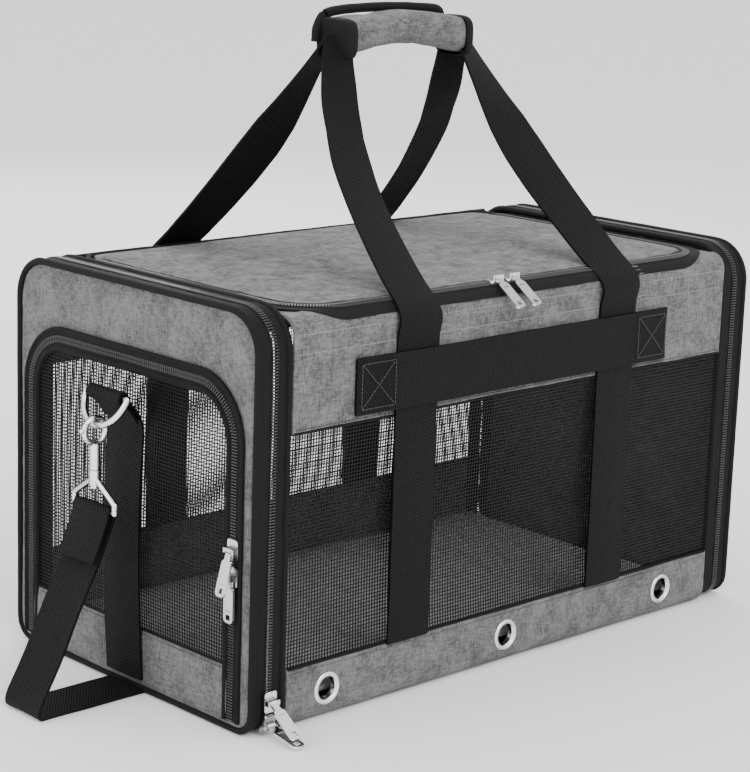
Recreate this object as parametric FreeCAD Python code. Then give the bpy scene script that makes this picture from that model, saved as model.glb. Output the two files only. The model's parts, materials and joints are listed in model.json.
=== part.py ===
import FreeCAD, Part
import math
import os

# Soft-sided pet carrier bag: fabric box on a stiff base board, zip-off end panels, a zip-open lid,
# two webbing carry handles in one grip wrap, and a shoulder strap clipped to a D-ring at each end.
# Millimetres.  +X runs along the bag away from the door end, -Y is the side with the luggage band,
# +Z is up, and the origin is the middle of the footprint on the floor.

V = FreeCAD.Vector
os.makedirs("parts", exist_ok=True)

# ---- driving dimensions -------------------------------------------------------------------------
bag_length = 490.0        # over both end rings
bag_width = 260.0         # over the end rings
bag_height = 280.0        # end rings, floor to top
ring_depth = 30.0         # end ring along the bag: piping, tape, zip, tape, piping
ring_radius = 30.0        # top corner radius of the end rings
foot_radius = 16.0        # bottom corner radius of the end rings
piping_d = 5.0            # cord piping
wire_d = 1.6              # spring steel hoop in the outer piping
cloth = 2.4               # padded oxford cloth wall
tape = 2.0                # zip tape and bias tape
gusset_wall = 3.6         # zip gusset of the end rings
zip_gap = 0.8             # between the two halves of a closed zip
body_drop = 6.0           # the fabric body stops this far under the top of the rings
shoulder = 12.0           # bend radius between the side walls, the top and the base
sill_height = 41.0        # front cloth band under the mesh
back_sill_height = 60.0   # back cloth band under the mesh
mesh_top = 198.0          # top of the mesh windows
mesh_wall = 1.6           # mesh cloth
webbing_width = 38.0
webbing = 1.8             # webbing thickness
leg_spacing = 200.0       # between the two legs of a carry handle, where they are sewn on
leg_shift = -8.0          # the handles and vents sit this far from the middle, toward the door
grip_spacing = 130.0      # between the two legs where they enter the grip
grip_shift = -12.0        # the soft handles lean a little toward the door end
handle_height = 446.0     # floor to the top of the carry handles
handle_hinge_z = 256.0    # last row of stitches of the carry handles
grip_length = 130.0       # grip wrap along the bag
band_low = 203.0          # luggage band, lower edge
band_start = -163.0       # luggage band, ends along the bag
band_end = 147.0
lid_margin = 12.0         # top cloth between an end ring and the lid
lid_radius = 35.0         # corner radius of the lid
lid_zip_width = 7.0       # lid half of the lid zip
door_half_width = 118.0   # outside of the door's zip
door_top = 236.0
door_radius = 45.0
door_bottom = 8.0
door_zip = 16.0           # outside of the door's zip to the mesh
kick_height = 45.0        # cloth strip at the foot of the door
eyelet_pitch = 171.0
eyelet_z = 20.9
eyelet_bore_d = 15.0
eyelet_d = 24.0
board = 3.0               # base board
mat = 15.0                # padded floor mat
clearance = 0.4           # between pieces that move past each other
strap_reach = 86.0        # how far the shoulder strap stands out from the end before it folds
dring_z = 206.0           # bar of the D-rings
dring_wire = 4.5
dring_radius = 21.5
dring_lean = 11.0         # the D-ring leans out by this much at its foot
dring_out = 17.0          # bar of a D-ring, out from the door
hook_ring = 6.5           # inside radius of the snap hook's nose
hook_bar = 4.0            # round bar of the snap hook
hook_body_r = 3.6         # body under the nose
hook_pin_r = 1.8          # pin that the eye turns on
hook_head_r = 3.0         # rivet head under the eye's collar
hook_head = 1.6           # thickness of the rivet head
collar_r = 3.8            # collar of the eye
collar_play = 0.3         # between the pin and the collar
gate_half = 5.0           # the gate closes this much of the nose below and above its middle
gate_thumb_r = 1.8        # thumb lug on the gate
eye_z = 131.0             # bar of the hook's eye, which holds the strap
eye_wire = 4.0
pull_length = 30.0
pull_width = 9.0
pull = 1.6

# ---- derived sizes ------------------------------------------------------------------------------
half_width = bag_width / 2
end_x = bag_length / 2                    # outside of the end rings
body_x = end_x - ring_depth               # end of the fabric body
seam_x = end_x - ring_depth / 2           # middle of the ring zip
body_top = bag_height - body_drop
trough_depth = webbing + 0.6              # room for the strap under the bag
trough_half = webbing_width / 2 + 3.0
panel_x = end_x - piping_d / 2            # middle plane of an end panel
floor_top = webbing + 2.6                 # top of the base cloth
lid_x = body_x - lid_margin
lid_front = half_width - shoulder
hinge_y = half_width - shoulder - 2.0
skin_y = half_width + 0.2                 # face that the webbing is sewn to


def box(x0, x1, y0, y1, z0, z1):
    """A plain block between two corners."""
    return Part.makeBox(x1 - x0, y1 - y0, z1 - z0, V(x0, y0, z0))


def ring_corners(inset):
    """Centres, radii and first directions of an end ring's corners, counter-clockwise from below."""
    y, low, high = half_width - inset, inset, bag_height - inset
    foot, top = foot_radius - inset, ring_radius - inset
    return [
        ((y - foot, low + foot), foot, -90),
        ((y - top, high - top), top, 0),
        ((-y + top, high - top), top, 90),
        ((-y + foot, low + foot), foot, 180),
    ]


def on_arc(x, centre, radius, degrees):
    turn = math.radians(degrees)
    return V(x, centre[0] + radius * math.cos(turn), centre[1] + radius * math.sin(turn))


def rounded_slab(x0, x1, inset):
    """Solid rounded rectangle between x0 and x1, set in from the outside of an end ring."""
    edges = []
    corners = ring_corners(inset)
    for i, (centre, radius, start) in enumerate(corners):
        points = [on_arc(x0, centre, radius, start + turn) for turn in (0, 45, 90)]
        edges.append(Part.Arc(*points).toShape())
        after, after_radius, after_start = corners[(i + 1) % 4]
        edges.append(Part.LineSegment(points[2], on_arc(x0, after, after_radius, after_start)).toShape())
    return Part.Face(Part.Wire(edges)).extrude(V(x1 - x0, 0, 0))


def ring_tube(x, inset, diameter):
    """Round cord or wire that follows an end ring, its axis set in by inset."""
    pieces = []
    corners = ring_corners(inset)
    for i, (centre, radius, start) in enumerate(corners):
        a, b = on_arc(x, centre, radius, start), on_arc(x, centre, radius, start + 90)
        along = on_arc(0, (0, 0), 1, start + 90)
        disc = Part.Face(Part.Wire(Part.Circle(a, along, diameter / 2).toShape()))
        pieces.append(disc.revolve(V(x, *centre), V(1, 0, 0), 90))
        after, after_radius, after_start = corners[(i + 1) % 4]
        run = on_arc(x, after, after_radius, after_start) - b
        pieces.append(Part.makeCylinder(diameter / 2, run.Length, b, run))
    return pieces[0].fuse(pieces[1:]).removeSplitter()


def strip_along_x(points, x0, x1):
    """Extrudes a closed outline in Y and Z along the bag. A point may be ('arc', middle, end)."""
    edges = []
    here = V(x0, *points[0])
    for step in points[1:] + [points[0]]:
        if step[0] == "arc":
            middle, there = V(x0, *step[1]), V(x0, *step[2])
            edges.append(Part.Arc(here, middle, there).toShape())
        else:
            there = V(x0, *step)
            if (there - here).Length > 1e-6:
                edges.append(Part.LineSegment(here, there).toShape())
        here = there
    return Part.Face(Part.Wire(edges)).extrude(V(x1 - x0, 0, 0))


def mirror_x(shape):
    return shape.mirror(V(0, 0, 0), V(1, 0, 0))


def mirror_y(shape):
    return shape.mirror(V(0, 0, 0), V(0, 1, 0))


def arch(inset, x0, x1):
    """Door outline: straight sides, round top corners and a square foot, set in by inset."""
    y, z, r = door_half_width - inset, door_top - inset, door_radius - inset
    k = r * (1 - math.sqrt(0.5))
    outline = [
        (-y, door_bottom), (y, door_bottom), (y, z - r), ("arc", (y - k, z - k), (y - r, z)),
        (-y + r, z), ("arc", (-y + k, z - k), (-y, z - r)),
    ]
    return strip_along_x(outline, x0, x1)


def lid_outline(inset, z0, z1):
    """Lid seen from above: round front corners and a straight back edge at the hinge."""
    x, front, r = lid_x - inset, -lid_front + inset, lid_radius - inset
    k = r * (1 - math.sqrt(0.5))
    line = lambda a, b: Part.LineSegment(V(*a, z0), V(*b, z0)).toShape()
    bend = lambda a, m, b: Part.Arc(V(*a, z0), V(*m, z0), V(*b, z0)).toShape()
    edges = [
        line((x, hinge_y), (-x, hinge_y)),
        line((-x, hinge_y), (-x, front + r)),
        bend((-x, front + r), (-x + k, front + k), (-x + r, front)),
        line((-x + r, front), (x - r, front)),
        bend((x - r, front), (x - k, front + k), (x, front + r)),
        line((x, front + r), (x, hinge_y)),
    ]
    return Part.Face(Part.Wire(edges)).extrude(V(0, 0, z1 - z0))


# ---- base ---------------------------------------------------------------------------------------
strap_trough = box(-end_x - 1, end_x + 1, -trough_half, trough_half, -1, trough_depth)


def base_panel():
    """Base cloth, with the shallow hollow that the shoulder strap runs in."""
    flat = half_width - shoulder
    return box(-body_x, body_x, -flat, flat, 0, floor_top).cut(strap_trough)


board_low = floor_top + 0.2
board_top = board_low + board
mat_low = board_top + 0.2
mat_top = mat_low + mat


def base_board():
    """Stiff board that lies loose in the bag and keeps the floor flat."""
    x, y = body_x - 4, half_width - shoulder - 1
    return box(-x, x, -y, y, board_low, board_top)


def floor_mat():
    """Padded mat on the board, with rounded edges."""
    x, y = body_x - 3, half_width - cloth - 3
    pad = box(-x, x, -y, y, mat_low, mat_top)
    upright = [e for e in pad.Edges if abs(e.tangentAt(e.FirstParameter).z) > 0.9]
    return pad.makeFillet(10, upright)


# ---- side walls ---------------------------------------------------------------------------------
bend_in = (1 - math.sqrt(0.5))


def sill(height):
    """Cloth band under a mesh window, with the bend into the base."""
    y, t, r = half_width, cloth, shoulder
    outer, inner = r * bend_in, (r - t) * bend_in
    return strip_along_x([
        (-y + r, 0), ("arc", (-y + outer, outer), (-y, r)), (-y, height), (-y + t, height),
        (-y + t, r), ("arc", (-y + t + inner, t + inner), (-y + r, t)),
    ], -body_x, body_x)


def eyelet_axis(radius, x):
    return Part.makeCylinder(radius, 20, V(x, -half_width - 10, eyelet_z), V(0, 1, 0))


eyelet_places = (leg_shift - eyelet_pitch, leg_shift, leg_shift + eyelet_pitch)


def front_sill():
    band = sill(sill_height)
    for x in eyelet_places:
        band = band.cut(eyelet_axis(eyelet_bore_d / 2 + 1.2, x))
    return band


def eyelets():
    """Rolled metal eyelets: a flanged barrel through the cloth."""
    made = []
    for x in eyelet_places:
        face = Part.makeCylinder(eyelet_d / 2, 1.0, V(x, -half_width - 1.0, eyelet_z), V(0, 1, 0))
        back = Part.makeCylinder(eyelet_d / 2 - 3.2, 0.8, V(x, -half_width + cloth, eyelet_z), V(0, 1, 0))
        barrel = Part.makeCylinder(
            eyelet_bore_d / 2 + 1.2, cloth + 1.8, V(x, -half_width - 1.0, eyelet_z), V(0, 1, 0))
        made.append(face.fuse([back, barrel]).cut(eyelet_axis(eyelet_bore_d / 2, x)).removeSplitter())
    return made


def mesh_window(low):
    """Mesh cloth of one long side."""
    y = half_width - 0.4
    return box(-body_x, body_x, -y, -y + mesh_wall, low, mesh_top)


def top_band():
    """Cloth band over a mesh window, with the bend into the top."""
    y, z, t, r = half_width, body_top, cloth, shoulder
    outer, inner = r * bend_in, (r - t) * bend_in
    return strip_along_x([
        (-y, mesh_top), (-y, z - r), ("arc", (-y + outer, z - outer), (-y + r, z)),
        (-y + r, z - t), ("arc", (-y + t + inner, z - t - inner), (-y + t, z - r)), (-y + t, mesh_top),
    ], -body_x, body_x)


def top_end_strips():
    """Top cloth between the lid and the end rings, round the lid's corners and behind its hinge."""
    y = half_width - shoulder
    sheet = box(-body_x, body_x, -y, y, body_top - cloth, body_top)
    hole = lid_outline(0, body_top - 10, body_top + 10)
    return sheet.cut(hole)


# ---- end rings ----------------------------------------------------------------------------------
def gusset(x_piping_side, x_zip_side):
    """Tape ring beside an end zip: thin tape with the thicker zip chain at its free edge."""
    low, high = sorted((x_piping_side, x_zip_side))
    tape_ring = rounded_slab(low, high, 1.0).cut(rounded_slab(low - 1, high + 1, gusset_wall))
    chain = 4.0
    towards = math.copysign(chain, x_piping_side - x_zip_side)
    low, high = sorted((x_zip_side, x_zip_side + towards))
    bead = rounded_slab(low, high, 0).cut(rounded_slab(low - 1, high + 1, gusset_wall))
    return tape_ring.fuse(bead).removeSplitter().cut(strap_trough)


def far_body_gusset():
    return gusset(body_x + piping_d, seam_x - zip_gap / 2)


def far_panel_gusset():
    return gusset(end_x - piping_d, seam_x + zip_gap / 2)


def far_body_piping():
    return ring_tube(body_x + piping_d / 2, piping_d / 2, piping_d).cut(strap_trough)


wire_inset = trough_depth + 0.4 + wire_d / 2


def far_hoop_wire():
    """Spring steel hoop that holds an end panel in shape."""
    return ring_tube(panel_x, wire_inset, wire_d)


def far_panel_piping():
    return ring_tube(panel_x, piping_d / 2, piping_d).cut(far_hoop_wire()).cut(strap_trough)


def end_cloth():
    """Cloth of the far end, flush with the middle of its piping."""
    return rounded_slab(panel_x - cloth / 2, panel_x + cloth / 2, piping_d)


def near_end_panel():
    opening = arch(door_zip * 0.35, -panel_x - 5, -panel_x + 5)
    return mirror_x(end_cloth()).cut(opening)


# ---- door, built on the near end ----------------------------------------------------------------
door_face = -panel_x - cloth / 2          # outer face of the near end panel
chain_inset = door_zip * 0.4              # middle of the door's zip, from its outside


def door_surround():
    """Fixed half of the door's zip, sewn on the end panel."""
    x0, x1 = door_face - tape, door_face
    return arch(0, x0, x1).cut(arch(chain_inset - clearance, x0 - 1, x1 + 1))


def door_tape():
    """Door half of the zip with the bias tape round the mesh."""
    x0, x1 = door_face - tape, door_face
    return arch(chain_inset + clearance, x0, x1).cut(arch(door_zip, x0 - 1, x1 + 1))


def door_sheet(z0, z1, wall):
    """A part of the door's filling between two heights, inside the tape."""
    x0 = door_face - tape / 2 - wall / 2
    whole = arch(door_zip, x0, x0 + wall)
    return whole.common(box(x0 - 1, x0 + wall + 1, -half_width, half_width, z0, z1))


def door_mesh():
    return door_sheet(kick_height, door_top, mesh_wall)


def door_kick():
    return door_sheet(0, kick_height, tape)


def profile_along_y(points, half, thickness):
    """Flat webbing: a bent centre line in X and Z, given thickness and a width across the bag."""
    left, right = [], []
    for i, (x, z) in enumerate(points):
        before, after = points[max(i - 1, 0)], points[min(i + 1, len(points) - 1)]
        dx, dz = after[0] - before[0], after[1] - before[1]
        long = math.hypot(dx, dz)
        nx, nz = -dz / long * thickness / 2, dx / long * thickness / 2
        left.append(V(x + nx, -half, z + nz))
        right.append(V(x - nx, -half, z - nz))
    outline = left + right[::-1]
    face = Part.Face(Part.makePolygon(outline + [outline[0]]))
    return face.extrude(V(0, 2 * half, 0))


loop_x = door_face - tape - dring_out     # axis of a D-ring's bar, near end
loop_inner = dring_wire / 2 + 0.5
loop_outer = loop_inner + webbing
tab_half = dring_radius - dring_wire / 2 - 1.6   # the webbing is folded narrower in the D-ring


def ring_webbing(back_x):
    """Webbing down the middle of an end, with the loop that holds the D-ring's bar."""
    skin = back_x - webbing / 2
    strip = profile_along_y(
        [(skin, door_bottom + 1), (skin - 2.5, 60), (skin - 3.5, 105), (skin - 2.5, 150), (skin, 190)],
        webbing_width / 2, webbing)
    neck = profile_along_y(
        [(skin, 187), (skin - 2.5, dring_z - 14), (loop_x + 7, dring_z - 8),
         (loop_x + loop_inner + webbing / 2, dring_z - 2), (loop_x + loop_inner + webbing / 2, dring_z)],
        tab_half, webbing)
    axis_start = V(loop_x, -tab_half, dring_z)
    loop = Part.makeCylinder(loop_outer, 2 * tab_half, axis_start, V(0, 1, 0))
    bore = Part.makeCylinder(loop_inner, 2 * tab_half + 2, axis_start - V(0, 1, 0), V(0, 1, 0))
    return strip.fuse([neck, loop]).cut(bore).removeSplitter()


def d_ring():
    """D-ring, near end: a straight bar in the webbing loop and a bow that leans outwards."""
    r = dring_radius
    lean = math.atan2(dring_lean, r)
    across = V(0, 1, 0)
    down = V(-math.sin(lean), 0, -math.cos(lean))
    centre = V(loop_x, 0, dring_z)
    a, b = centre - across * r, centre + across * r
    bar = Part.makeCylinder(dring_wire / 2, 2 * r, a, across)
    disc = Part.Face(Part.Wire(Part.Circle(b, down, dring_wire / 2).toShape()))
    bow = disc.revolve(centre, across.cross(down), 180)
    knuckles = [Part.makeSphere(dring_wire / 2, p) for p in (a, b)]
    return bar.fuse([bow] + knuckles)


dring_foot_x = loop_x - dring_radius * math.sin(math.atan2(dring_lean, dring_radius))
dring_foot_z = dring_z - dring_radius * math.cos(math.atan2(dring_lean, dring_radius))
hook_x = dring_foot_x
hook_z = dring_foot_z - (hook_ring - dring_wire / 2 - clearance)   # middle of the hook's nose
gate_low = hook_z - gate_half            # the gate turns about its lower end
collar_top = eye_z + 26.0
shank_foot = eye_z + 15.0


def hook_nose():
    return Part.makeTorus(hook_ring + hook_bar / 2, hook_bar / 2, V(hook_x, 0, hook_z), V(0, 1, 0))


def gate_block(grow):
    """Block that holds the gate side of the nose."""
    x1 = hook_x - hook_bar / 2
    x0 = x1 - 2 * (hook_ring + hook_bar / 2)
    return box(x0, x1 + grow, -gate_half, gate_half, gate_low - grow, hook_z + gate_half + 0.5 + grow)


def snap_hook():
    """Snap hook: round nose open at one side, body, and the pin that the eye turns on."""
    nose = hook_nose().cut(gate_block(clearance))
    low = hook_z - hook_ring - hook_bar
    up = V(0, 0, 1)
    body_long = low + hook_bar / 2 - collar_top
    body = Part.makeCylinder(hook_body_r, body_long, V(hook_x, 0, collar_top), up)
    pin = Part.makeCylinder(hook_pin_r, collar_top - shank_foot, V(hook_x, 0, shank_foot), up)
    head = Part.makeCylinder(hook_head_r, hook_head, V(hook_x, 0, shank_foot - hook_head), up)
    return nose.fuse([body, pin, head]).removeSplitter()


def hook_gate():
    """Sprung gate that closes the nose, with its thumb lug."""
    gate = hook_nose().common(gate_block(0))
    x = hook_x - hook_ring - hook_bar / 2
    lug = Part.makeSphere(gate_thumb_r, V(x - hook_bar / 2, 0, hook_z + 1.0))
    return gate.fuse(lug)


def hook_eye():
    """Swivel eye: a collar on the hook's pin and a wide loop for the webbing."""
    collar_low = shank_foot + clearance
    up = V(0, 0, 1)
    long = collar_top - clearance - collar_low
    bore = Part.makeCylinder(hook_pin_r + collar_play, long + 2, V(hook_x, 0, collar_low - 1), up)
    collar = Part.makeCylinder(collar_r, long, V(hook_x, 0, collar_low), up).cut(bore)
    top_z = collar_low + 3.0              # the loop's arms leave the collar here
    arm_y = collar_r - 0.4
    half = webbing_width / 2 + eye_wire / 2 + 0.8
    r = eye_wire / 2
    corners = [V(hook_x, arm_y, top_z), V(hook_x, half, eye_z + 6), V(hook_x, half, eye_z),
               V(hook_x, -half, eye_z), V(hook_x, -half, eye_z + 6), V(hook_x, -arm_y, top_z)]
    rods = []
    for a, b in zip(corners[:-1], corners[1:]):
        rods.append(Part.makeCylinder(r, (b - a).Length, a, b - a))
    balls = [Part.makeSphere(r, c) for c in corners[1:-1]]
    return collar.fuse(rods + balls).removeSplitter()


# ---- shoulder strap -----------------------------------------------------------------------------
fold_x = -end_x - strap_reach             # where the strap folds on the floor
hang_foot_x = fold_x + webbing            # foot of the hanging run, on the strap's floor run


def strap_hang():
    """Strap from the eye's bar down to the floor and in to the bag, sewn back round the bar."""
    loop_in = eye_wire / 2 + 0.4
    top_x, top_z = hook_x, eye_z
    start = V(top_x, -webbing_width / 2, top_z)
    across = V(0, 1, 0)
    bar = Part.makeCylinder(loop_in + webbing, webbing_width, start, across)
    bore = Part.makeCylinder(loop_in, webbing_width + 2, start - across, across)
    doubled = profile_along_y(
        [(top_x - 0.5, top_z - loop_in - 0.6), (top_x - 6, top_z - 18), (top_x - 12, top_z - 34)],
        webbing_width / 2, webbing * 2)
    run = profile_along_y(
        [(top_x - 11, top_z - 32), (top_x - 23, 74), (top_x - 36, 47), (top_x - 47, 26),
         (hang_foot_x + 1, 11), (hang_foot_x, 6), (hang_foot_x, webbing - 0.3)],
        webbing_width / 2, webbing)
    tail = box(fold_x, -end_x, -webbing_width / 2, webbing_width / 2, 0.0, webbing)
    return bar.fuse([doubled, run, tail]).cut(bore).removeSplitter()


def strap_floor():
    """Strap in the trough under the bag, between the two end rings."""
    return box(-end_x, end_x, -webbing_width / 2, webbing_width / 2, 0.0, webbing)


# ---- webbing on the sides -----------------------------------------------------------------------
legs_x = (leg_shift - leg_spacing / 2, leg_shift + leg_spacing / 2)


def side_webbing():
    """Webbing sewn down both long sides: the sewn part of the carry handles."""
    made = []
    for x in legs_x:
        for foot, turn in ((sill_height, lambda s: s), (back_sill_height, mirror_y)):
            made.append(turn(box(x - webbing_width / 2, x + webbing_width / 2,
                                 -skin_y - webbing, -skin_y, foot, handle_hinge_z - 1.5)))
    return made


def luggage_band():
    """Flat band across the front, over the webbing, sewn down at both ends."""
    y = -skin_y - webbing - 0.2
    return box(band_start, band_end, y - webbing, y, band_low, band_low + webbing_width)


# ---- carry handles and grip ---------------------------------------------------------------------
leg_bend_z = handle_hinge_z + 12.0
handle_y = half_width + webbing + 0.6     # middle plane of a handle's sewn end
grip_y = 8.0                              # middle plane of a handle at its top
grip_depth = 25.0                         # height of the folded webbing inside the grip
grip_mouth = 23.0                         # the wrap is open below this far in, for the webbing
grip_mouth_z = handle_height - 19.0


def front_handle():
    """One carry handle: two upright ends, then an arch that leans in over the lid."""
    low, high = V(0, -handle_y, leg_bend_z), V(0, -grip_y, handle_height)
    up = (high - low)
    reach = up.Length
    up.normalize()
    across = V(1, 0, 0)
    normal = across.cross(up)
    w = webbing_width / 2
    g0, g1 = grip_shift - grip_spacing / 2, grip_shift + grip_spacing / 2
    outline = [(legs_x[0] - w, 0), (g0 - w * 0.9, reach - 40), (g0 + 4, reach), (g1 - 4, reach),
               (g1 + w * 0.9, reach - 40), (legs_x[1] + w, 0), (legs_x[1] - w, 0), (g1 - w, reach - grip_depth),
               (g0 + w, reach - grip_depth), (legs_x[0] + w, 0)]
    points = [low + across * u + up * v - normal * (webbing / 2) for u, v in outline]
    arch_plate = Part.Face(Part.makePolygon(points + [points[0]])).extrude(normal * webbing)
    ends = []
    for x in legs_x:
        y0 = -handle_y - webbing / 2
        ends.append(box(x - w, x + w, y0, y0 + webbing, handle_hinge_z, leg_bend_z + 0.5))
    return arch_plate.fuse(ends).removeSplitter()


def grip_wrap():
    """Padded wrap that holds both handles together in one grip."""
    half = grip_length / 2
    low, high = handle_height - grip_depth - 7, handle_height + 6
    outer_r = 17.0

    def tube(inset, x0, x1):
        y, r = grip_y + 19 - inset, outer_r - inset
        z0, z1 = low + inset, high - inset
        k = r * bend_in
        return strip_along_x([
            (-y + r, z0), (y - r, z0), ("arc", (y - k, z0 + k), (y, z0 + r)), (y, z1 - r),
            ("arc", (y - k, z1 - k), (y - r, z1)), (-y + r, z1), ("arc", (-y + k, z1 - k), (-y, z1 - r)),
            (-y, z0 + r), ("arc", (-y + k, z0 + k), (-y + r, z0)),
        ], x0, x1)

    start, end = grip_shift - half, grip_shift + half
    wrap = tube(0, start, end).cut(tube(3.0, start - 1, end + 1))
    for x in (start, end - grip_mouth):
        wrap = wrap.cut(box(x - 0.1, x + grip_mouth + 0.1, -half_width, half_width, low - 1, grip_mouth_z))
    return wrap.removeSplitter()


# ---- lid ----------------------------------------------------------------------------------------
def lid_panel():
    inner = lid_outline(lid_zip_width, body_top - cloth, body_top)
    gap = box(-end_x, end_x, hinge_y - 0.4, hinge_y + 5, 0, bag_height)
    return inner.cut(gap)


def lid_zip():
    """Lid half of the lid zip, round three sides."""
    low, high = body_top - tape, body_top + 0.8
    ring = lid_outline(clearance, low, high).cut(lid_outline(lid_zip_width, low - 1, high + 1))
    gap = box(-end_x, end_x, hinge_y - 0.4, hinge_y + 5, 0, bag_height)
    return ring.cut(gap)


# ---- zip sliders --------------------------------------------------------------------------------
pin_height = 3.6          # axis of a pull's pin over the chain
slider_plate = 1.6        # thickness of a slider's top plate, and of its two cheeks
cheek_pitch = 8.2         # between the middles of the cheeks, which carry the pin
pin_d = 1.8


def upright_edges(shape):
    """The edges of a plate that run through its thickness."""
    return [e for e in shape.Edges if abs(e.tangentAt(e.FirstParameter).z) > 0.9]


def slider(along_pin, across_pin, pin_shift):
    """Slider plate with two cheeks; the pull's pin lies along local X, shifted along local Y."""
    low, high = -across_pin / 2 - pin_shift, across_pin / 2 - pin_shift
    plate = box(-along_pin / 2, along_pin / 2, low, high, 0, slider_plate)
    plate = plate.makeFillet(2.0, upright_edges(plate))
    w = slider_plate / 2
    cheeks = []
    for x in (-cheek_pitch / 2, cheek_pitch / 2):
        cheeks.append(box(x - w, x + w, -2 * w, 2 * w, slider_plate - 0.1, pin_height + 2 * w))
    pin = Part.makeCylinder(pin_d / 2, cheek_pitch, V(-cheek_pitch / 2, 0, pin_height), V(1, 0, 0))
    return plate.fuse(cheeks + [pin]).removeSplitter()


def slider_pull():
    """Pull tab along local -Y, with a knuckle round the pin, a recess and a slot at the free end."""
    knuckle_half, knuckle_r, pin_play, neck_half = 3.0, 2.0, 0.25, 2.6
    knuckle = Part.makeCylinder(knuckle_r, 2 * knuckle_half, V(-knuckle_half, 0, pin_height), V(1, 0, 0))
    z0 = pin_height - pull / 2
    neck = box(-neck_half, neck_half, -7, 0, z0, z0 + pull)
    tab = box(-pull_width / 2, pull_width / 2, -pull_length, -6, z0, z0 + pull)
    tab = tab.makeFillet(3.0, upright_edges(tab))
    whole = knuckle.fuse([neck, tab])
    bore = Part.makeCylinder(pin_d / 2 + pin_play, cheek_pitch, V(-cheek_pitch / 2, 0, pin_height), V(1, 0, 0))
    recess = box(-neck_half, neck_half, -22, -10, z0 + pull - 0.5, z0 + pull + 1)
    slot = box(-2.0, 2.0, -28, -24.5, z0 - 1, z0 + pull + 1)
    return whole.cut(bore).cut(recess).cut(slot).removeSplitter()


def placed(shape, origin, along, outward, tilt=0.0):
    """Moves a slider or pull from its own frame: local X along the pin, local Z outward."""
    x, z = V(*along), V(*outward)
    y = z.cross(x)
    copy = shape.copy()
    if tilt:
        copy.rotate(V(0, 0, pin_height), V(1, 0, 0), tilt)
    m = FreeCAD.Matrix(x.x, y.x, z.x, origin[0], x.y, y.y, z.y, origin[1],
                       x.z, y.z, z.z, origin[2], 0, 0, 0, 1)
    return copy.transformed(m)


lid_slider_z = body_top + 0.8 + 0.2
lid_slider_y = -lid_front
door_slider_x = door_face - tape - 0.2
door_slider_y = -door_half_width + chain_inset
ring_slider_x = -seam_x
side_slider_y = -half_width - 0.3         # slider on the straight side of an end ring
side_slider_z = foot_radius + 8.0
foot_turn = math.radians(25)              # slider this far round the bottom corner
foot_reach = foot_radius + 0.3
foot_slider_y = -half_width + foot_radius - foot_reach * math.cos(foot_turn)
foot_slider_z = foot_radius - foot_reach * math.sin(foot_turn)
foot_out = (0, -math.cos(foot_turn), -math.sin(foot_turn))

chain_long, chain_wide = 14.0, 10.0       # slider plate along and across its chain
lid_pin_shift = -2.5                      # the lid pulls hang over the edge of the lid

# name: (place of the pin, pin direction, outward direction, tilt of the pull in degrees,
#        plate along the pin, plate across the pin, shift of the pin)
sliders = {
    "lid_left": ((-24.0, lid_slider_y + lid_pin_shift, lid_slider_z), (1, 0, 0), (0, 0, 1), 35.0,
                 chain_long, 8.0, lid_pin_shift),
    "lid_right": ((-8.0, lid_slider_y + lid_pin_shift, lid_slider_z), (1, 0, 0), (0, 0, 1), 35.0,
                  chain_long, 8.0, lid_pin_shift),
    "door_upper": ((door_slider_x, door_slider_y, 124.0), (0, -1, 0), (-1, 0, 0), -15.0,
                   chain_wide, chain_long, 0.0),
    "door_lower": ((door_slider_x, door_slider_y, 106.0), (0, -1, 0), (-1, 0, 0), 0.0,
                   chain_wide, chain_long, 0.0),
    "near_ring_side": ((ring_slider_x, side_slider_y, side_slider_z), (1, 0, 0), (0, -1, 0), -55.0,
                       chain_wide, chain_long, 0.0),
    "near_ring_foot": ((ring_slider_x, foot_slider_y, foot_slider_z), (1, 0, 0), foot_out, -105.0,
                       chain_wide, chain_long, 0.0),
    "far_ring": ((-ring_slider_x, -side_slider_y, side_slider_z), (-1, 0, 0), (0, 1, 0), -55.0,
                 chain_wide, chain_long, 0.0),
}

# ---- write every piece --------------------------------------------------------------------------
near_webbing = ring_webbing(door_face - tape)
far_webbing = mirror_x(ring_webbing(-panel_x - cloth / 2))
near_strap = strap_hang()

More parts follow.
